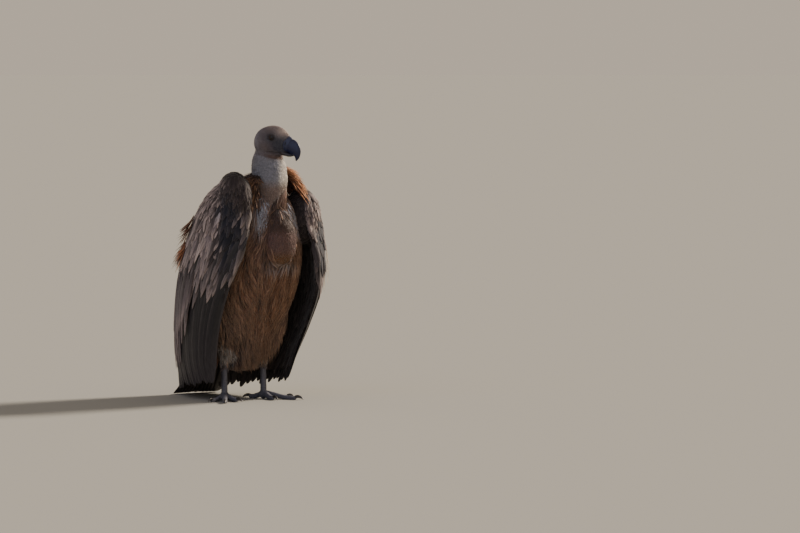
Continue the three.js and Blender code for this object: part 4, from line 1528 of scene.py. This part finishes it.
# %% [markdown]
# Damp or preened feathers cling together. So half of each lance's tone and most of its turn are shared with
# its neighbours, which makes wisps, and the rest is chance.

# %% Lances
LANCE_STEPS = np.array([0, 0.12, 0.4, 0.75, 1.0])


def toned(roots, draw):
    """Each feather's colour at its root, moved towards dark brown or straw, half by chance and half by a wave
    across the breast."""
    along, z = roots @ LEFTWARDS, roots[:, 2]
    wave = 0.5 + 0.5 * np.sin(along / 3.6 + 1.6 * np.sin(z / 41) + 1.2 * np.sin(along / 17 - z / 29))
    share, colours = 0.45 * draw.random(len(roots)) + 0.55 * wave, markings_and_painted_light(roots)
    colours = patch(0.75 * soft(-share, -0.42, -0.1), "2c1d17", colours)
    return patch(0.6 * soft(share, 0.62, 0.95), "b59078", colours)


def lance_tract(density, long, wide, rise, seed, hang=0.0):
    """Lances of the breast. hang is how much the low ones leave the skin and hang as a fringe."""
    draw = np.random.default_rng(seed)
    roots, outs = scattered(skin, density, seed + 1)
    count = len(roots)
    low = soft(-roots[:, 2], -250, -160)
    ways = turned(jittered(lie_of_breast(roots), outs, 5, draw), outs, wisps(roots) * (1 - 0.5 * low))
    long = draw.uniform(0.7, 1.3, count) * long(roots)
    tips = draw.uniform(72, 112, count) + 66 * soft(-roots[:, 0], 34, 52)
    long = np.where(hang * low > 0, np.clip(roots[:, 2] - tips, 22, long), long)
    lines, line_outs = on_skin(skin, roots, ways, long, LANCE_STEPS)
    free = unit(ways * np.array([1.0, 0.3, 1.0]) + np.array([0, 0, -0.6]))
    reach = long[:, None] * LANCE_STEPS
    hung = roots[:, None] + free[:, None] * reach[..., None] + outs[:, None] * (3 * LANCE_STEPS)[:, None]
    share = (hang * low[:, None] * LANCE_STEPS)[..., None]
    return tract(
        lines * (1 - share) + hung * share, line_outs, LANCE_STEPS, toned(roots, draw),
        round_unwrap(roots, (0, -70), 60, 560), seed + 2, **LANCE_LOOK,
        wide=wide * draw.uniform(0.7, 1.2, count), lift=rise * draw.uniform(0.4, 1.6, count), thick=0.9,
        camber=0.25, ragged=0.3,
    )


def breast_length(points):
    """42 mm at the shoulders and 76 mm on the belly, and half as long under the crop."""
    long = 42 + 34 * soft(-points[:, 2], -360, -220)
    return long * (1 - 0.5 * spot((points @ LEFTWARDS, points[:, 2]), (98, 372), (34, 20)))


def sock_length(points):
    """Up to 22 mm above, and 13 mm where the bare shank begins."""
    return 13 + 9 * soft(points[:, 2], 95, 130)


LANCES = feather_finish("breast_lances", "b8957a", 0.4, 0.8, root=0.45, streak=0.4, edge=0.1)
breast_tract = lance_tract(breast_density, breast_length, wide=4.2, rise=5.0, seed=21, hang=1.0)
coat_piece("breast_feathers", [breast_tract], LANCES, "breast")
sock_tract = lance_tract(sock_density, sock_length, wide=3.2, rise=2.6, seed=27)
coat_piece("leg_feathers", [sock_tract], LANCES, "breast")

# %% [markdown]
# On the bulge of the full crop the feathers are short, dark and flat, like fur: the same lances, shorter and
# closer together.

# %% Crop
draw = np.random.default_rng(31)
roots, outs = scattered(skin, lambda points, outs: 0.16 * is_crop(points), seed=32)
size = draw.uniform(0.8, 1.2, len(roots))
ways = jittered(lie_of_breast(roots), outs, 7, draw)
lines, line_outs = on_skin(skin, roots, ways, (9.5 + 20 * soft(roots[:, 2], 430, 478)) * size, TUFT_STEPS)
CROP_FUR = feather_finish("crop_feathers", "8f7058", 0.25, 1.0, root=0.8, streak=0.2, rough=0.6)
coat_piece("crop_feathers", [tract(
    lines, line_outs, TUFT_STEPS, markings_and_painted_light(roots), round_unwrap(roots, (0, -150), 330, 520), seed=33,
    **LANCE_LOOK, wide=3.2 * size, lift=1.2 * size, thick=0.4, camber=0.2,
)], CROP_FUR, "crop")

# %% [markdown]
# Left and right of the crop's root, white down shows between the lances, as loose fluffy tufts.

# %% White down beside the crop


def white_density(points, outs):
    """Tufts for each square millimetre in the two pale places."""
    along, z = points @ LEFTWARDS, points[:, 2]
    left = spot((along - 0.1 * (z - 478), z), (54, 478), (8, 24))
    right = spot((along + 0.25 * (z - 486), z), (131, 484), (17, 27))
    neck = is_neck(points) + spot((along, z), (92, 516), (22, 20))
    bare = np.maximum(is_crop(points), soft(neck, 0.1, 0.5))
    return 0.2 * np.minimum(left + right, 1) * soft(-outs[:, 1], 0, 0.3) * (1 - bare)


def white_tract(seed):
    """White tufts that stand off the breast."""
    draw = np.random.default_rng(seed)
    roots, outs = scattered(skin, white_density, seed + 1)
    count, size = len(roots), draw.uniform(0.7, 1.4, len(roots))
    ways = jittered(lie_of_breast(roots), outs, 24, draw)
    lines, line_outs = on_skin(skin, roots, ways, 16 * size, TUFT_STEPS)
    colours = layered("b3b8c6", count, [(0.7 * draw.random(count), "7c8496")])
    return tract(
        lines, line_outs, TUFT_STEPS, colours, round_unwrap(roots, (0, -70), 60, 560), seed + 2,
        **LANCE_LOOK, wide=2.3 * size, lift=draw.uniform(1, 6, count), base=1.5, thick=0.4, camber=0.3,
    )


coat_piece("white_down", [white_tract(35)], DOWN, "down")

# %% [markdown]
# ## Mantle and ruff
#
# The back between the wings is covered by broader, pointed feathers with worn pale tips. Long ones hang from
# the foot of the back and hide the root of the tail.

# %% Mantle


def lie_of_back(points):
    """Down and backwards, away from the middle line."""
    x = points[:, 0]
    return unit(np.stack([0.1 * np.tanh(x / 40), np.full_like(x, 0.45), np.full_like(x, -0.9)], -1))


def back_density(points, outs):
    """Feathers for each square millimetre of the back, from the ruff to the root of the tail."""
    _, y, z = points.T
    on_back = np.maximum(soft(y, 20, 60) * soft(z, 200, 240), soft(y, -110, -80) * soft(z, 420, 460))
    return 0.0125 * on_back * (1 - np.maximum(is_neck(points) * (1 - is_nape(points)), is_head(points)))


VANE_STEPS = np.array([0, 0.08, 0.25, 0.45, 0.65, 0.82, 0.94, 1.0])
draw = np.random.default_rng(41)
roots, outs = scattered(skin, back_density, seed=42)
size = draw.uniform(0.8, 1.2, len(roots))
ways = jittered(lie_of_back(roots), outs, 7, draw)
long = 50 + 46 * soft(-roots[:, 2], -460, -260)
lines, line_outs = on_skin(skin, roots, ways, long * size, VANE_STEPS)
mantle_colours = layered("6b574d", len(roots), [
    (soft(-roots[:, 2], -440, -280), "5a4d4b"),
    (0.7 * draw.random(len(roots)) ** 2, "2f2624"),
])
MANTLE_VANES = feather_finish("mantle_vanes", "a38a78", 0.45, 0.5, root=0.5, streak=0.35, edge=0.25)


def rump_density(points, outs):
    """Feathers for each square millimetre at the foot of the back."""
    _, y, z = points.T
    return 0.010 * soft(y, 60, 90) * soft(z, 196, 215) * soft(-z, -330, -270)


def rump_tract(seed):
    """Long feathers that hang from the foot of the back over the root of the tail."""
    draw = np.random.default_rng(seed)
    roots, outs = scattered(skin, rump_density, seed + 1)
    count = len(roots)
    fall = draw.uniform(70, 120, count)[:, None]
    lines = roots[:, None] + outs[:, None] * (2 + 7 * VANE_STEPS)[:, None]
    aside = 0.12 * draw.standard_normal((count, 1))
    lines = lines + np.stack([aside, 0.1 + 0 * aside, -1 + 0 * aside], -1) * (fall * VANE_STEPS)[..., None]
    return tract(
        lines, np.repeat(outs[:, None], len(VANE_STEPS), 1), VANE_STEPS,
        layered("5c4e4a", count, [(0.6 * draw.random(count), "2f2826")]),
        round_unwrap(roots, (0, -30), 190, 600), seed + 2, **VANE_LOOK,
        wide=draw.uniform(15, 22, count), lift=draw.uniform(0, 4, count), camber=0.2, ragged=0.2,
    )


mantle_tract = tract(
    lines, line_outs, VANE_STEPS, mantle_colours, round_unwrap(roots, (0, -30), 190, 600), seed=43,
    **VANE_LOOK, wide=18 * size, lift=6 * size, camber=0.2, ragged=0.2,
)
coat_piece("mantle_feathers", [mantle_tract, rump_tract(45)], MANTLE_VANES, "coverts")

# %% [markdown]
# Round the back of the neck stands the ruff: in a young bird a collar of long brown lances, loose and frayed.
# They follow a cone of their own, and their roots are sunk in it, so that they come out of the neck.

# %% Ruff
RUFF = dict(
    open=54, centre=(2, -112), radius=[54, 80, 108], height=[606, 568, 518], right_drop=26,
)


def ruff_face(turn, v):
    """The collar's face: its radius and height at each angle, from brim to foot, lower on the right."""
    out = through(RUFF["radius"], v)
    drop = RUFF["right_drop"] * (1 - np.cos(turn)) / 2
    return np.stack([
        RUFF["centre"][0] + out * np.cos(turn), RUFF["centre"][1] + 0.9 * out * np.sin(turn),
        through(RUFF["height"], v) - drop,
    ], -1)


def face_out(face, c, v, step=0.004):
    """The direction square to a face: the cross product of small steps across it and along it."""
    return unit(np.cross(face(c + step, v) - face(c - step, v), face(c, v + step) - face(c, v - step)))


def along_face(face, across, start, stop, stations):
    """Middle lines on a face from start to stop, and the directions square to it."""
    v = start[:, None] + (stop - start)[:, None] * stations
    c = across[:, None] + 0 * v if across.ndim == 1 else across
    return face(c, v), face_out(face, c, v)


draw = np.random.default_rng(51)
count = 2600
turn = np.radians(-90 + RUFF["open"] + (360 - 2 * RUFF["open"]) * draw.random(count))
start = draw.uniform(-0.12, 0.62, count)
stop = start + draw.uniform(0.38, 0.62, count)
sweep = turn[:, None] + np.radians(11) * draw.standard_normal(count)[:, None] * LANCE_STEPS
lines, line_outs = along_face(ruff_face, sweep, start, stop, LANCE_STEPS)
line_outs = -line_outs if line_outs[0, 2, 2] < 0 else line_outs
sunk = 16 * (1 - LANCE_STEPS) ** 1.3 + draw.uniform(0, 6, count)[:, None]
lines = lines - line_outs * sunk[..., None]
ruff_colours = layered("b27a54", count, [
    # Painted shade: the next two layers darken the ruff on the bird's right side, between the neck and the
    # right wing.
    (soft(-np.cos(turn), -0.4, 0.3), "3d2b25"),
    (0.7 * soft(-lines[:, 2] @ LEFTWARDS, -40, 10), "211916"),
    (draw.random(count) ** 2 * 0.7, "3a1f17"),
])
RUFF_LANCES = feather_finish("ruff_lances", "d6a67c", 0.45, 0.85, root=0.4, streak=0.35, edge=0.12)
ruff_map = np.stack([0.02 + 0.96 * (turn + np.pi / 2) / (2 * np.pi), 0.05 + 0.9 * (start + 0.12)], -1)
coat_piece("ruff_feathers", [tract(
    lines, line_outs, LANCE_STEPS, ruff_colours, ruff_map, seed=53,
    **LANCE_LOOK, wide=draw.uniform(2.5, 5, count), lift=draw.uniform(0, 9, count) ** 1.2,
    thick=0.8, camber=0.3, ragged=0.3,
)], RUFF_LANCES, "ruff", "ruff")

# %% [markdown]
# ## Wings
#
# A closed wing is one curved face. At every height a smooth curve with two handles runs from its front edge,
# round its bulging side, to its back edge: c is the share of that way, and v the share of the way down from
# the wrist to the tips. The left wing hangs lower and spreads a little more.

# %% Wing face
WING = dict(
    front=(
        [96, 84, 106, 130, 132, 122, 110], [-140, -178, -184, -150, -98, -56, -36],
        [572, 500, 404, 308, 210, 120, 40],
    ),
    back=(
        [92, 54, 36, 26, 24, 28, 34], [-100, 0, 98, 160, 188, 210, 236], [580, 536, 446, 334, 220, 112, 8],
    ),
    outer=[112, 184, 204, 200, 186, 160, 124], thick=[16, 50, 42, 28, 17, 10, 5],
)
WRIST = dict(centre=(100, -120, 516), radii=(44, 58, 73))
SIDES = {"right": -1, "left": 1}
SHOULDER_DROP = 46.0
LEFT_SPREAD = 16.0
WING_LENGTH = 600.0
ARM_DEPTH = 5.0


def wing_face(side):
    """The outer face of that side's closed wing as a function of c and v."""
    def face(c, v):
        c, v = np.broadcast_arrays(c, v)
        front, back = on_path(WING["front"], v), on_path(WING["back"], v)
        outer = through(WING["outer"], v) + (LEFT_SPREAD * np.sin(np.pi * v) if side > 0 else 0)
        near, far = front * 0.82 + back * 0.18, front * 0.14 + back * 0.86
        near[..., 0] = outer
        far[..., 0] = outer
        c = c[..., None]
        d = 1 - c
        point = d ** 3 * front + 3 * d ** 2 * c * near + 3 * d * c ** 2 * far + c ** 3 * back
        drop = SHOULDER_DROP * (1 - v) if side > 0 else 0 * v
        return np.stack([side * point[..., 0], point[..., 1], point[..., 2] - drop], -1)
    return face


def wing_map(c, v):
    """Places on the OFBake map for feathers of the outer face: its left part."""
    return np.stack([0.02 + 0.62 * c, 0.02 + 0.96 * v], -1)


def inner_map(c, v):
    """The same for the inner side: the right part."""
    return np.stack([0.68 + 0.3 * c, 0.02 + 0.96 * v], -1)


def wing_out(side, c, v):
    """The outward direction of the wing's face."""
    return -side * face_out(wing_face(side), c, v)


def wing_lines(side, c, start, stop, stations):
    """Middle lines down the wing's face from start to stop, and the outward directions."""
    lines, outs = along_face(wing_face(side), c, start, stop, stations)
    return lines, outs * np.sign(side * outs[..., :1])


print("front and back edges near the tips:", wing_face(1)(np.array([0.0, 1.0]), 0.9).round())

# %% [markdown]
# The arm is a flat closed form under the face, as thick as the wing is there, with the wrist as a ball at its
# top. Its surface is the bed that the coverts lie on.

# %% Arm and wrist


def arm(side):
    """A closed flat arm inside the wing. As u goes round, c swings to the back and to the front again, and
    the depth under the face between a little and nearly the wing's thickness."""
    def form(u, v):
        u, v = np.broadcast_arrays(u, v)
        low = 0.03 + 0.9 * v
        close = np.clip(np.sin(np.pi * v) / 0.12, 0, 1) ** 0.5
        cosine, sine = circle(u)
        c = 0.5 - 0.485 * cosine * close
        thick = 3 + (through(WING["thick"], low) - 3) * np.sqrt(np.sin(np.pi * np.clip(c, 0.02, 0.98)))
        swing = np.sign(sine) * np.abs(sine) ** 0.5 * close
        depth = thick / 2 + ARM_DEPTH / 2 - np.maximum(thick / 2 - ARM_DEPTH / 2, 0.8) * swing
        return wing_face(side)(c, low) - wing_out(side, c, low) * depth[..., None]
    return form


def wrist_centre(side):
    """The middle of the wrist, which hangs lower on the left."""
    across, ahead, up = WRIST["centre"]
    return np.array([side * across, ahead, up - (SHOULDER_DROP if side > 0 else 0)])


def wrist_ball(side):
    """The round wrist, a little smaller than its solid."""
    return lambda u, v: wrist_centre(side) + unit_ball(u, v) * (np.array(WRIST["radii"]) - ARM_DEPTH)


def arm_bed(side, name):
    """Arm and wrist as one closed surface."""
    base = shown(f"arm_{name}", new_mesh("arm", *closed_grid(arm(side), 64, 72, flip=side > 0)))
    ball = shown("wrist", new_mesh("wrist", *closed_grid(wrist_ball(side), 40, 28)))
    made = combined(base, [ball])
    made.data.shade_smooth()
    return made


arms = {side: arm_bed(side, name) for name, side in SIDES.items()}
for made in arms.values():
    print(made.name, len(made.data.polygons), "faces")

# %% [markdown]
# The coverts lie in rows like tiles, each row shifted by half a feather. They are small near the wrist and
# grow longer down the wing, to a jagged line over the flight feathers. Each place is given as a share of the
# way down to that line.

# %% Rows and colours of coverts
COVERTS_END = dict(front=0.46, rise=0.2)


def coverts_end(c):
    """How far down the wing the coverts reach: further at the back than at the front."""
    return COVERTS_END["front"] + COVERTS_END["rise"] * c


ROWS = [
    dict(shares=(0.02, 0.40), rows=16, across=34, long=42, wide=13, lift=4),
    dict(shares=(0.38, 0.62), rows=6, across=26, long=56, wide=19, lift=6),
    dict(shares=(0.56, 0.84), rows=6, across=24, long=92, wide=21, lift=7),
]
# How much painted shade darkens the front edge and the wrist of each wing: all on the right, a fifth on the
# left.
PAINTED_FRONT_SHADE = {-1: 1.0, 1: 0.2}


def covert_colours(c, share, shade, draw):
    """Each covert's colour by how far back it lies, c, and how far down, share. shade is how much painted
    shade darkens the front edge and the wrist."""
    count = len(c)
    return layered("756869", count, [
        (0.8 * soft(share, 0.25, 0.8), "84797d"),
        # Painted shade: the layers scaled by shade darken the front edge and the wrist.
        (0.95 * shade * soft(-share, -0.3, -0.1) * soft(-c, -0.6, -0.35), "2c2426"),
        (0.9 * shade * soft(-c, -0.3, -0.16) * soft(-share, -0.9, -0.6), "2e2628"),
        (0.8 * draw.random(count) ** 1.5, "2c2829"),
        (0.6 * draw.random(count) ** 3, "b0a19c"),
        (0.9 * shade * soft(-c, -0.42, -0.26) * soft(-share, -0.4, -0.28), "292123"),
        (0.9 * spot((c, share), (0.27, 0.3), (0.06, 0.08)) * draw.random(count) ** 3, "c5c1cc"),
        (3.0 * spot((c + 0.42 * share, share), (0.33, 0.42), (0.07, 0.22)), "1c1d27"),
        (soft(-c, -0.07, -0.04) * soft(share, 0.72, 0.85), "262427"),
        (0.8 * spot((c, share), (0.3, 1.0), (0.2, 0.2)), "2b292c"),
    ])


print("feathers in rows:", [row["rows"] * row["across"] for row in ROWS])

# %% [markdown]
# A row's feathers start on the face of the wing and are then laid on the arm, whose round wrist they follow.

# %% Coverts of the outer face


def covert_tracts(side, seed):
    """The three groups of rows on the outer face."""
    draw = np.random.default_rng(seed)
    bed, face, tracts = arms[side], wing_face(side), []
    for index, row in enumerate(ROWS):
        count = row["rows"] * row["across"]
        down, over = np.divmod(np.arange(count), row["across"])
        c = 0.005 + 0.99 * (over + 0.5 * (down % 2) + 0.4 * draw.standard_normal(count)) / row["across"]
        c = np.clip(c, 0.002, 0.998)
        low, high = row["shares"]
        share = low + (high - low) * (down + 0.5 * draw.standard_normal(count)) / (row["rows"] - 1)
        size = draw.uniform(0.82, 1.2, count)
        start = np.clip(share, 0.01, 1) * coverts_end(c)
        stop = start + row["long"] * size / WING_LENGTH
        lean = c[:, None] + 0.03 * draw.standard_normal((count, 1)) * VANE_STEPS
        lines, outs = lines_on(bed, along_face(face, lean, start, stop, VANE_STEPS)[0])
        tracts.append(tract(
            lines, outs, VANE_STEPS,
            covert_colours(c, share, PAINTED_FRONT_SHADE[side], draw), wing_map(c, start), seed=seed + index + 1,
            **VANE_LOOK, wide=row["wide"] * size, lift=row["lift"] * draw.uniform(0.5, 1.4, count),
            base=0.4 * index, camber=0.2, ragged=0.2,
        ))
    return tracts


outer_coverts = {side: covert_tracts(side, 60 + 10 * side) for side in (-1, 1)}
print("points of the right wing's rows:", [len(made["points"]) for made in outer_coverts[-1]])

# %% [markdown]
# Rows would crowd together where the wing turns over. So its inner side, its edges and the wrist wear small
# feathers spread over the arm, as on the body.

# %% Small feathers of the arm


def arm_tract(side, seed):
    """Small feathers over the arm's inner side, its edges and the wrist."""
    draw = np.random.default_rng(seed)
    bed = arms[side]

    def wrist_gap(points):
        return np.linalg.norm((points - wrist_centre(side)) / WRIST["radii"], axis=1)

    def density(points, outs):
        inner = soft(-side * outs[:, 0] - 0.5 * soft(-points[:, 2], -330, -280), -0.35, 0.1)
        wrist = soft(-wrist_gap(points), -1.25, -1.1)
        return np.maximum(0.007 * inner * soft(points[:, 2], 150, 190), 0.022 * wrist)

    roots, outs = scattered(bed, density, seed + 1)
    wrist = soft(-wrist_gap(roots), -1.3, -1.0)
    size = draw.uniform(0.8, 1.2, len(roots))
    back = 0.35 * (1 - wrist) + 0.1 + 1.2 * soft(outs[:, 2], 0.1, 0.9)
    slope = np.stack([0 * wrist, back, -np.ones(len(roots))], -1)
    ways = jittered(slope, outs, 6, draw)
    lines, line_outs = on_skin(bed, roots, ways, size * (52 - 24 * wrist), VANE_STEPS)
    # Painted shade: the small feathers at the wrist are near black on both wings.
    colours = layered("292223", len(roots), [
        (1 - wrist, "252122"),
        (wrist * 0.7 * draw.random(len(roots)) ** 2, "2e292a"),
    ])
    return tract(
        lines, line_outs, VANE_STEPS, colours,
        inner_map((roots[:, 1] + 190) / 420, roots[:, 2] / 600), seed=seed + 2,
        **VANE_LOOK, wide=size * (17 - 3 * wrist), lift=size * 2.5, camber=0.2, ragged=0.1,
    )


small_feathers = {side: arm_tract(side, 80 + 10 * side) for side in (-1, 1)}
print("points of the small feathers:", [len(made["points"]) for made in small_feathers.values()])

# %% [markdown]
# Long feathers close the wing. The innermost lie over the flight feathers towards the back edge, and dark
# ones line the inner side, so that no gap shows.

# %% Long feathers


def long_tract(side, seed):
    """The long innermost feathers, over the flight feathers along the wing's back edge."""
    draw = np.random.default_rng(seed)
    count = 84
    c = draw.uniform(0.34, 0.995, count)
    start = 0.36 + 0.2 * c + 0.12 * draw.random(count)
    stop = start + draw.uniform(0.12, 0.2, count) + 0.26 * soft(c, 0.3, 0.62) * draw.uniform(0.3, 1, count)
    stop = np.minimum(stop, draw.uniform(0.86, 0.93, count))
    order = np.argsort(stop)[::-1]
    c, start, stop = c[order], start[order], stop[order]
    lines, outs = wing_lines(side, c, start, stop, VANE_STEPS)
    colours = layered("655b5e", count, [(0.8 * draw.random(count), "4a4143")])
    height = 0.5 + 4.0 * np.arange(count) / count
    return tract(
        lines + outs * height[:, None, None], outs, VANE_STEPS, colours,
        wing_map(c, start), seed + 1, **VANE_LOOK,
        wide=draw.uniform(16, 26, count), lift=draw.uniform(0, 3, count), camber=0.12, ragged=0.15,
    )


def under_tract(side, seed):
    """Long dark feathers on the wing's inner side, down to its tips."""
    draw = np.random.default_rng(seed)
    count = 110
    bed = arms[side]
    c, start = draw.uniform(0.1, 0.93, count), draw.uniform(0.42, 0.74, count)
    lines, outs = wing_lines(side, c, start, start + draw.uniform(0.18, 0.24, count), VANE_STEPS)
    v = start[:, None] + 0.2 * VANE_STEPS
    places, inner = lines_on(bed, lines - outs * (through(WING["thick"], v) + 3)[..., None])
    places[..., 2] = np.minimum(places[..., 2], lines[..., 2] + 4)
    colours = layered("242122", count, [(draw.random(count), "3a3334")])
    return tract(
        places, inner, VANE_STEPS, colours, inner_map(c, start), seed + 1,
        **VANE_LOOK, wide=draw.uniform(18, 28, count), lift=draw.uniform(0, 3, count), camber=0.12,
        ragged=0.12,
    )


long_feathers = {side: [long_tract(side, 95 + side), under_tract(side, 120 + side)] for side in (-1, 1)}
print("points of the long feathers:", [len(made["points"]) for made in long_feathers[-1]])

# %% [markdown]
# A wild bird is never quite tidy. Loose rufous feathers stand out over the back edge of the right wing, and a
# few pale plumes over the edge of the left one.

# %% Loose feathers, and the coverts as pieces


def loose_tract(seed):
    """Loose rufous feathers that stand out over the back edge of the right wing."""
    draw = np.random.default_rng(seed)
    count = 60
    group = np.arange(count) % 2
    c, start = draw.uniform(0.58, 0.76, count), 0.29 + 0.1 * group + 0.018 * draw.standard_normal(count)
    lines, outs = wing_lines(-1, c, start, start + draw.uniform(0.05, 0.1, count), LANCE_STEPS)
    colours = layered("4a342c", count, [((0.3 + 0.7 * group) * draw.random(count), "c17c50")])
    return tract(
        lines + outs * 2, outs, LANCE_STEPS, colours, wing_map(c, start), seed + 1,
        **LANCE_LOOK, wide=draw.uniform(4, 8, count), lift=draw.uniform(6, 26, count), thick=0.8,
        camber=0.25, ragged=0.3,
    )


def pale_plumes(seed):
    """A few long pale plumes that stand out over the edge of the left wing."""
    draw = np.random.default_rng(seed)
    count = 9
    c, start = draw.uniform(0.16, 0.34, count), draw.uniform(0.3, 0.5, count)
    lines, outs = wing_lines(1, c, start, start + draw.uniform(0.08, 0.12, count), LANCE_STEPS)
    return tract(
        lines + outs * 2, outs, LANCE_STEPS, layered("cbb9a2", count),
        wing_map(c, start), seed + 1, **LANCE_LOOK,
        wide=draw.uniform(1.6, 3, count), lift=draw.uniform(5, 14, count), thick=0.6, camber=0.2,
    )


COVERT_VANES = feather_finish(
    "covert_vanes", "b3a19b", 0.7, 0.6, root=0.45, streak=0.4, edge=0.25, guard=0.9,
)
for name, side in SIDES.items():
    coat_piece(f"coverts_{name}", [
        *outer_coverts[side], small_feathers[side], *long_feathers[side],
        loose_tract(90) if side < 0 else pale_plumes(92),
    ], COVERT_VANES, "coverts", f"wing_{name}_coverts")

# %% [markdown]
# The arm itself is seen only in the gaps between feathers, as the dark grey down at their roots.

# %% Arm finish
ARM_DOWN, tree, shader = finish("down_at_the_roots")
place = add(tree, "TexCoord").outputs["Object"]
cloud = add(tree, "TexNoise", {"Vector": place, "Scale": 240.0, "Detail": 4.0})
ramp = add(tree, "ValToRGB", {"Fac": cloud})
ramp.color_ramp.elements[0].color = paint("1c1819")
ramp.color_ramp.elements[1].color = paint("4a413e")
bump = add(tree, "Bump", {"Height": cloud, "Distance": 0.002})
feed(tree, shader, {"Base Color": ramp, "Normal": bump, "Roughness": 0.9})
for made in arms.values():
    finished(made, ARM_DOWN, "coverts")

# %% [markdown]
# ## Flight feathers
#
# The flight feathers are long stiff bands with a thick shaft. Folded, they lie side by side under the
# coverts, each tilted a little so that it tucks under the next one. Their tips end in an uneven line over the
# floor.

# %% Wing feathers
FLIGHT_STEPS = np.concatenate([[0], np.linspace(0.02, 0.9, 20), [0.945, 0.975, 0.993, 1.0]])
QUILLS = 19


def flight_tract(side, seed):
    """The folded flight feathers of one wing, as bands just under the coverts."""
    draw = np.random.default_rng(seed)
    index = np.arange(QUILLS)
    c = 0.03 + 0.94 * (index + 0.5) / QUILLS
    start = 0.66 * coverts_end(c)
    stop = 1.0 - 0.03 * draw.random(QUILLS)
    lines, _ = along_face(wing_face(side), c[:, None] + 0 * FLIGHT_STEPS, start, stop, FLIGHT_STEPS)
    v = start[:, None] + (stop - start)[:, None] * FLIGHT_STEPS
    outs = wing_out(side, c[:, None] + 0 * v, v)
    lines = lines - outs * (3.2 + 1.2 * (index % 2))[:, None, None]
    lines[..., 2] = np.maximum(lines[..., 2], 3.0)
    return tract(
        lines, outs, FLIGHT_STEPS, layered("262527", QUILLS),
        np.stack([(index + 0.5) / QUILLS, np.full(QUILLS, 0.5)], -1), seed=seed + 1,
        **STRAP_LOOK, wide=np.full(QUILLS, 33.0), lift=np.zeros(QUILLS), camber=0.1, tilt=0.14,
        patch=(0.8 / QUILLS, 0.96),
    )


QUILL_VANES = feather_finish(
    "flight_vanes", "5d5354", 0.2, 0.9, root=0.9, streak=0.35, edge=0.25, rough=0.55, sheen=0.05, pitch=1.4,
)
for name, side in SIDES.items():
    coat_piece(
        f"flight_feathers_{name}", [flight_tract(side, 100 + side)], QUILL_VANES, "flight",
        f"wing_{name}_flight",
    )

# %% [markdown]
# The tail is made the same way, on an arched face of its own. The middle feathers lie on top, shorter coverts
# hide their roots, and the end of the tail rests on the floor.

# %% Tail
TAIL = dict(
    y=[92, 132, 168, 202, 232, 256], z=[252, 180, 112, 54, 14, 2.4], wide=[26, 36, 46, 55, 62, 68],
    thick=[16, 11, 7, 5, 4, 3.4], arch=10,
)


def tail_face(c, v):
    """The tail's upper face: wider downwards, and arched from side to side."""
    c, v = np.broadcast_arrays(c, v)
    across = 2 * c - 1
    arch = TAIL["arch"] * across ** 2 * np.sin(np.pi * np.minimum(v + 0.15, 1))
    y, z = through(TAIL["y"], v) - 0.5 * arch, through(TAIL["z"], v) - 0.4 * arch
    return np.stack([across * through(TAIL["wide"], v), y, z], -1)


def tail_tract(seed):
    """Twelve tail feathers, the outer ones a little lower."""
    draw = np.random.default_rng(seed)
    count = 12
    index = np.arange(count)
    c = (index + 0.5) / count
    start = np.full(count, -0.02)
    stop = 1.0 - 0.04 * draw.random(count)
    lines, outs = along_face(tail_face, c, start, stop, FLIGHT_STEPS)
    outs = outs * np.sign(outs[..., 1:2])
    lines = lines - outs * (1.2 + 4 * np.abs(c - 0.5))[:, None, None]
    lines[..., 2] = np.maximum(lines[..., 2], 1.6)
    return tract(
        lines, outs, FLIGHT_STEPS, layered("2a2626", count),
        np.stack([(index + 0.5) / count * 0.6, np.full(count, 0.5)], -1), seed=seed + 1,
        **STRAP_LOOK, wide=np.full(count, 27.0), lift=np.zeros(count), camber=0.08, patch=(0.04, 0.96),
    )


def tail_covert_tract(seed, above):
    """Covering feathers over the root of the tail, above or below it."""
    draw = np.random.default_rng(seed)
    count = 90
    c, start = draw.random(count), draw.uniform(-0.1, 0.3, count)
    lines, outs = along_face(tail_face, c, start, start + 0.3, VANE_STEPS)
    outs = outs * np.sign(outs[..., 1:2]) * (1 if above else -1)
    lines = lines + outs * ((3 if above else 12) * (1 - start))[:, None, None]
    lines[..., 2] = np.maximum(lines[..., 2], 2.0)
    return tract(
        lines, outs, VANE_STEPS, layered("5c4a40" if above else "6d4a38", count),
        np.stack([0.65 + 0.3 * c, 0.1 + (0.5 if above else 0.0) + start], -1), seed=seed + 1,
        **VANE_LOOK, wide=draw.uniform(14, 20, count), lift=draw.uniform(2, 7, count), camber=0.2,
        ragged=0.15,
    )


coat_piece("tail_feathers", [tail_tract(110), tail_covert_tract(112, True), tail_covert_tract(114, False)],
           QUILL_VANES, "flight", "tail")
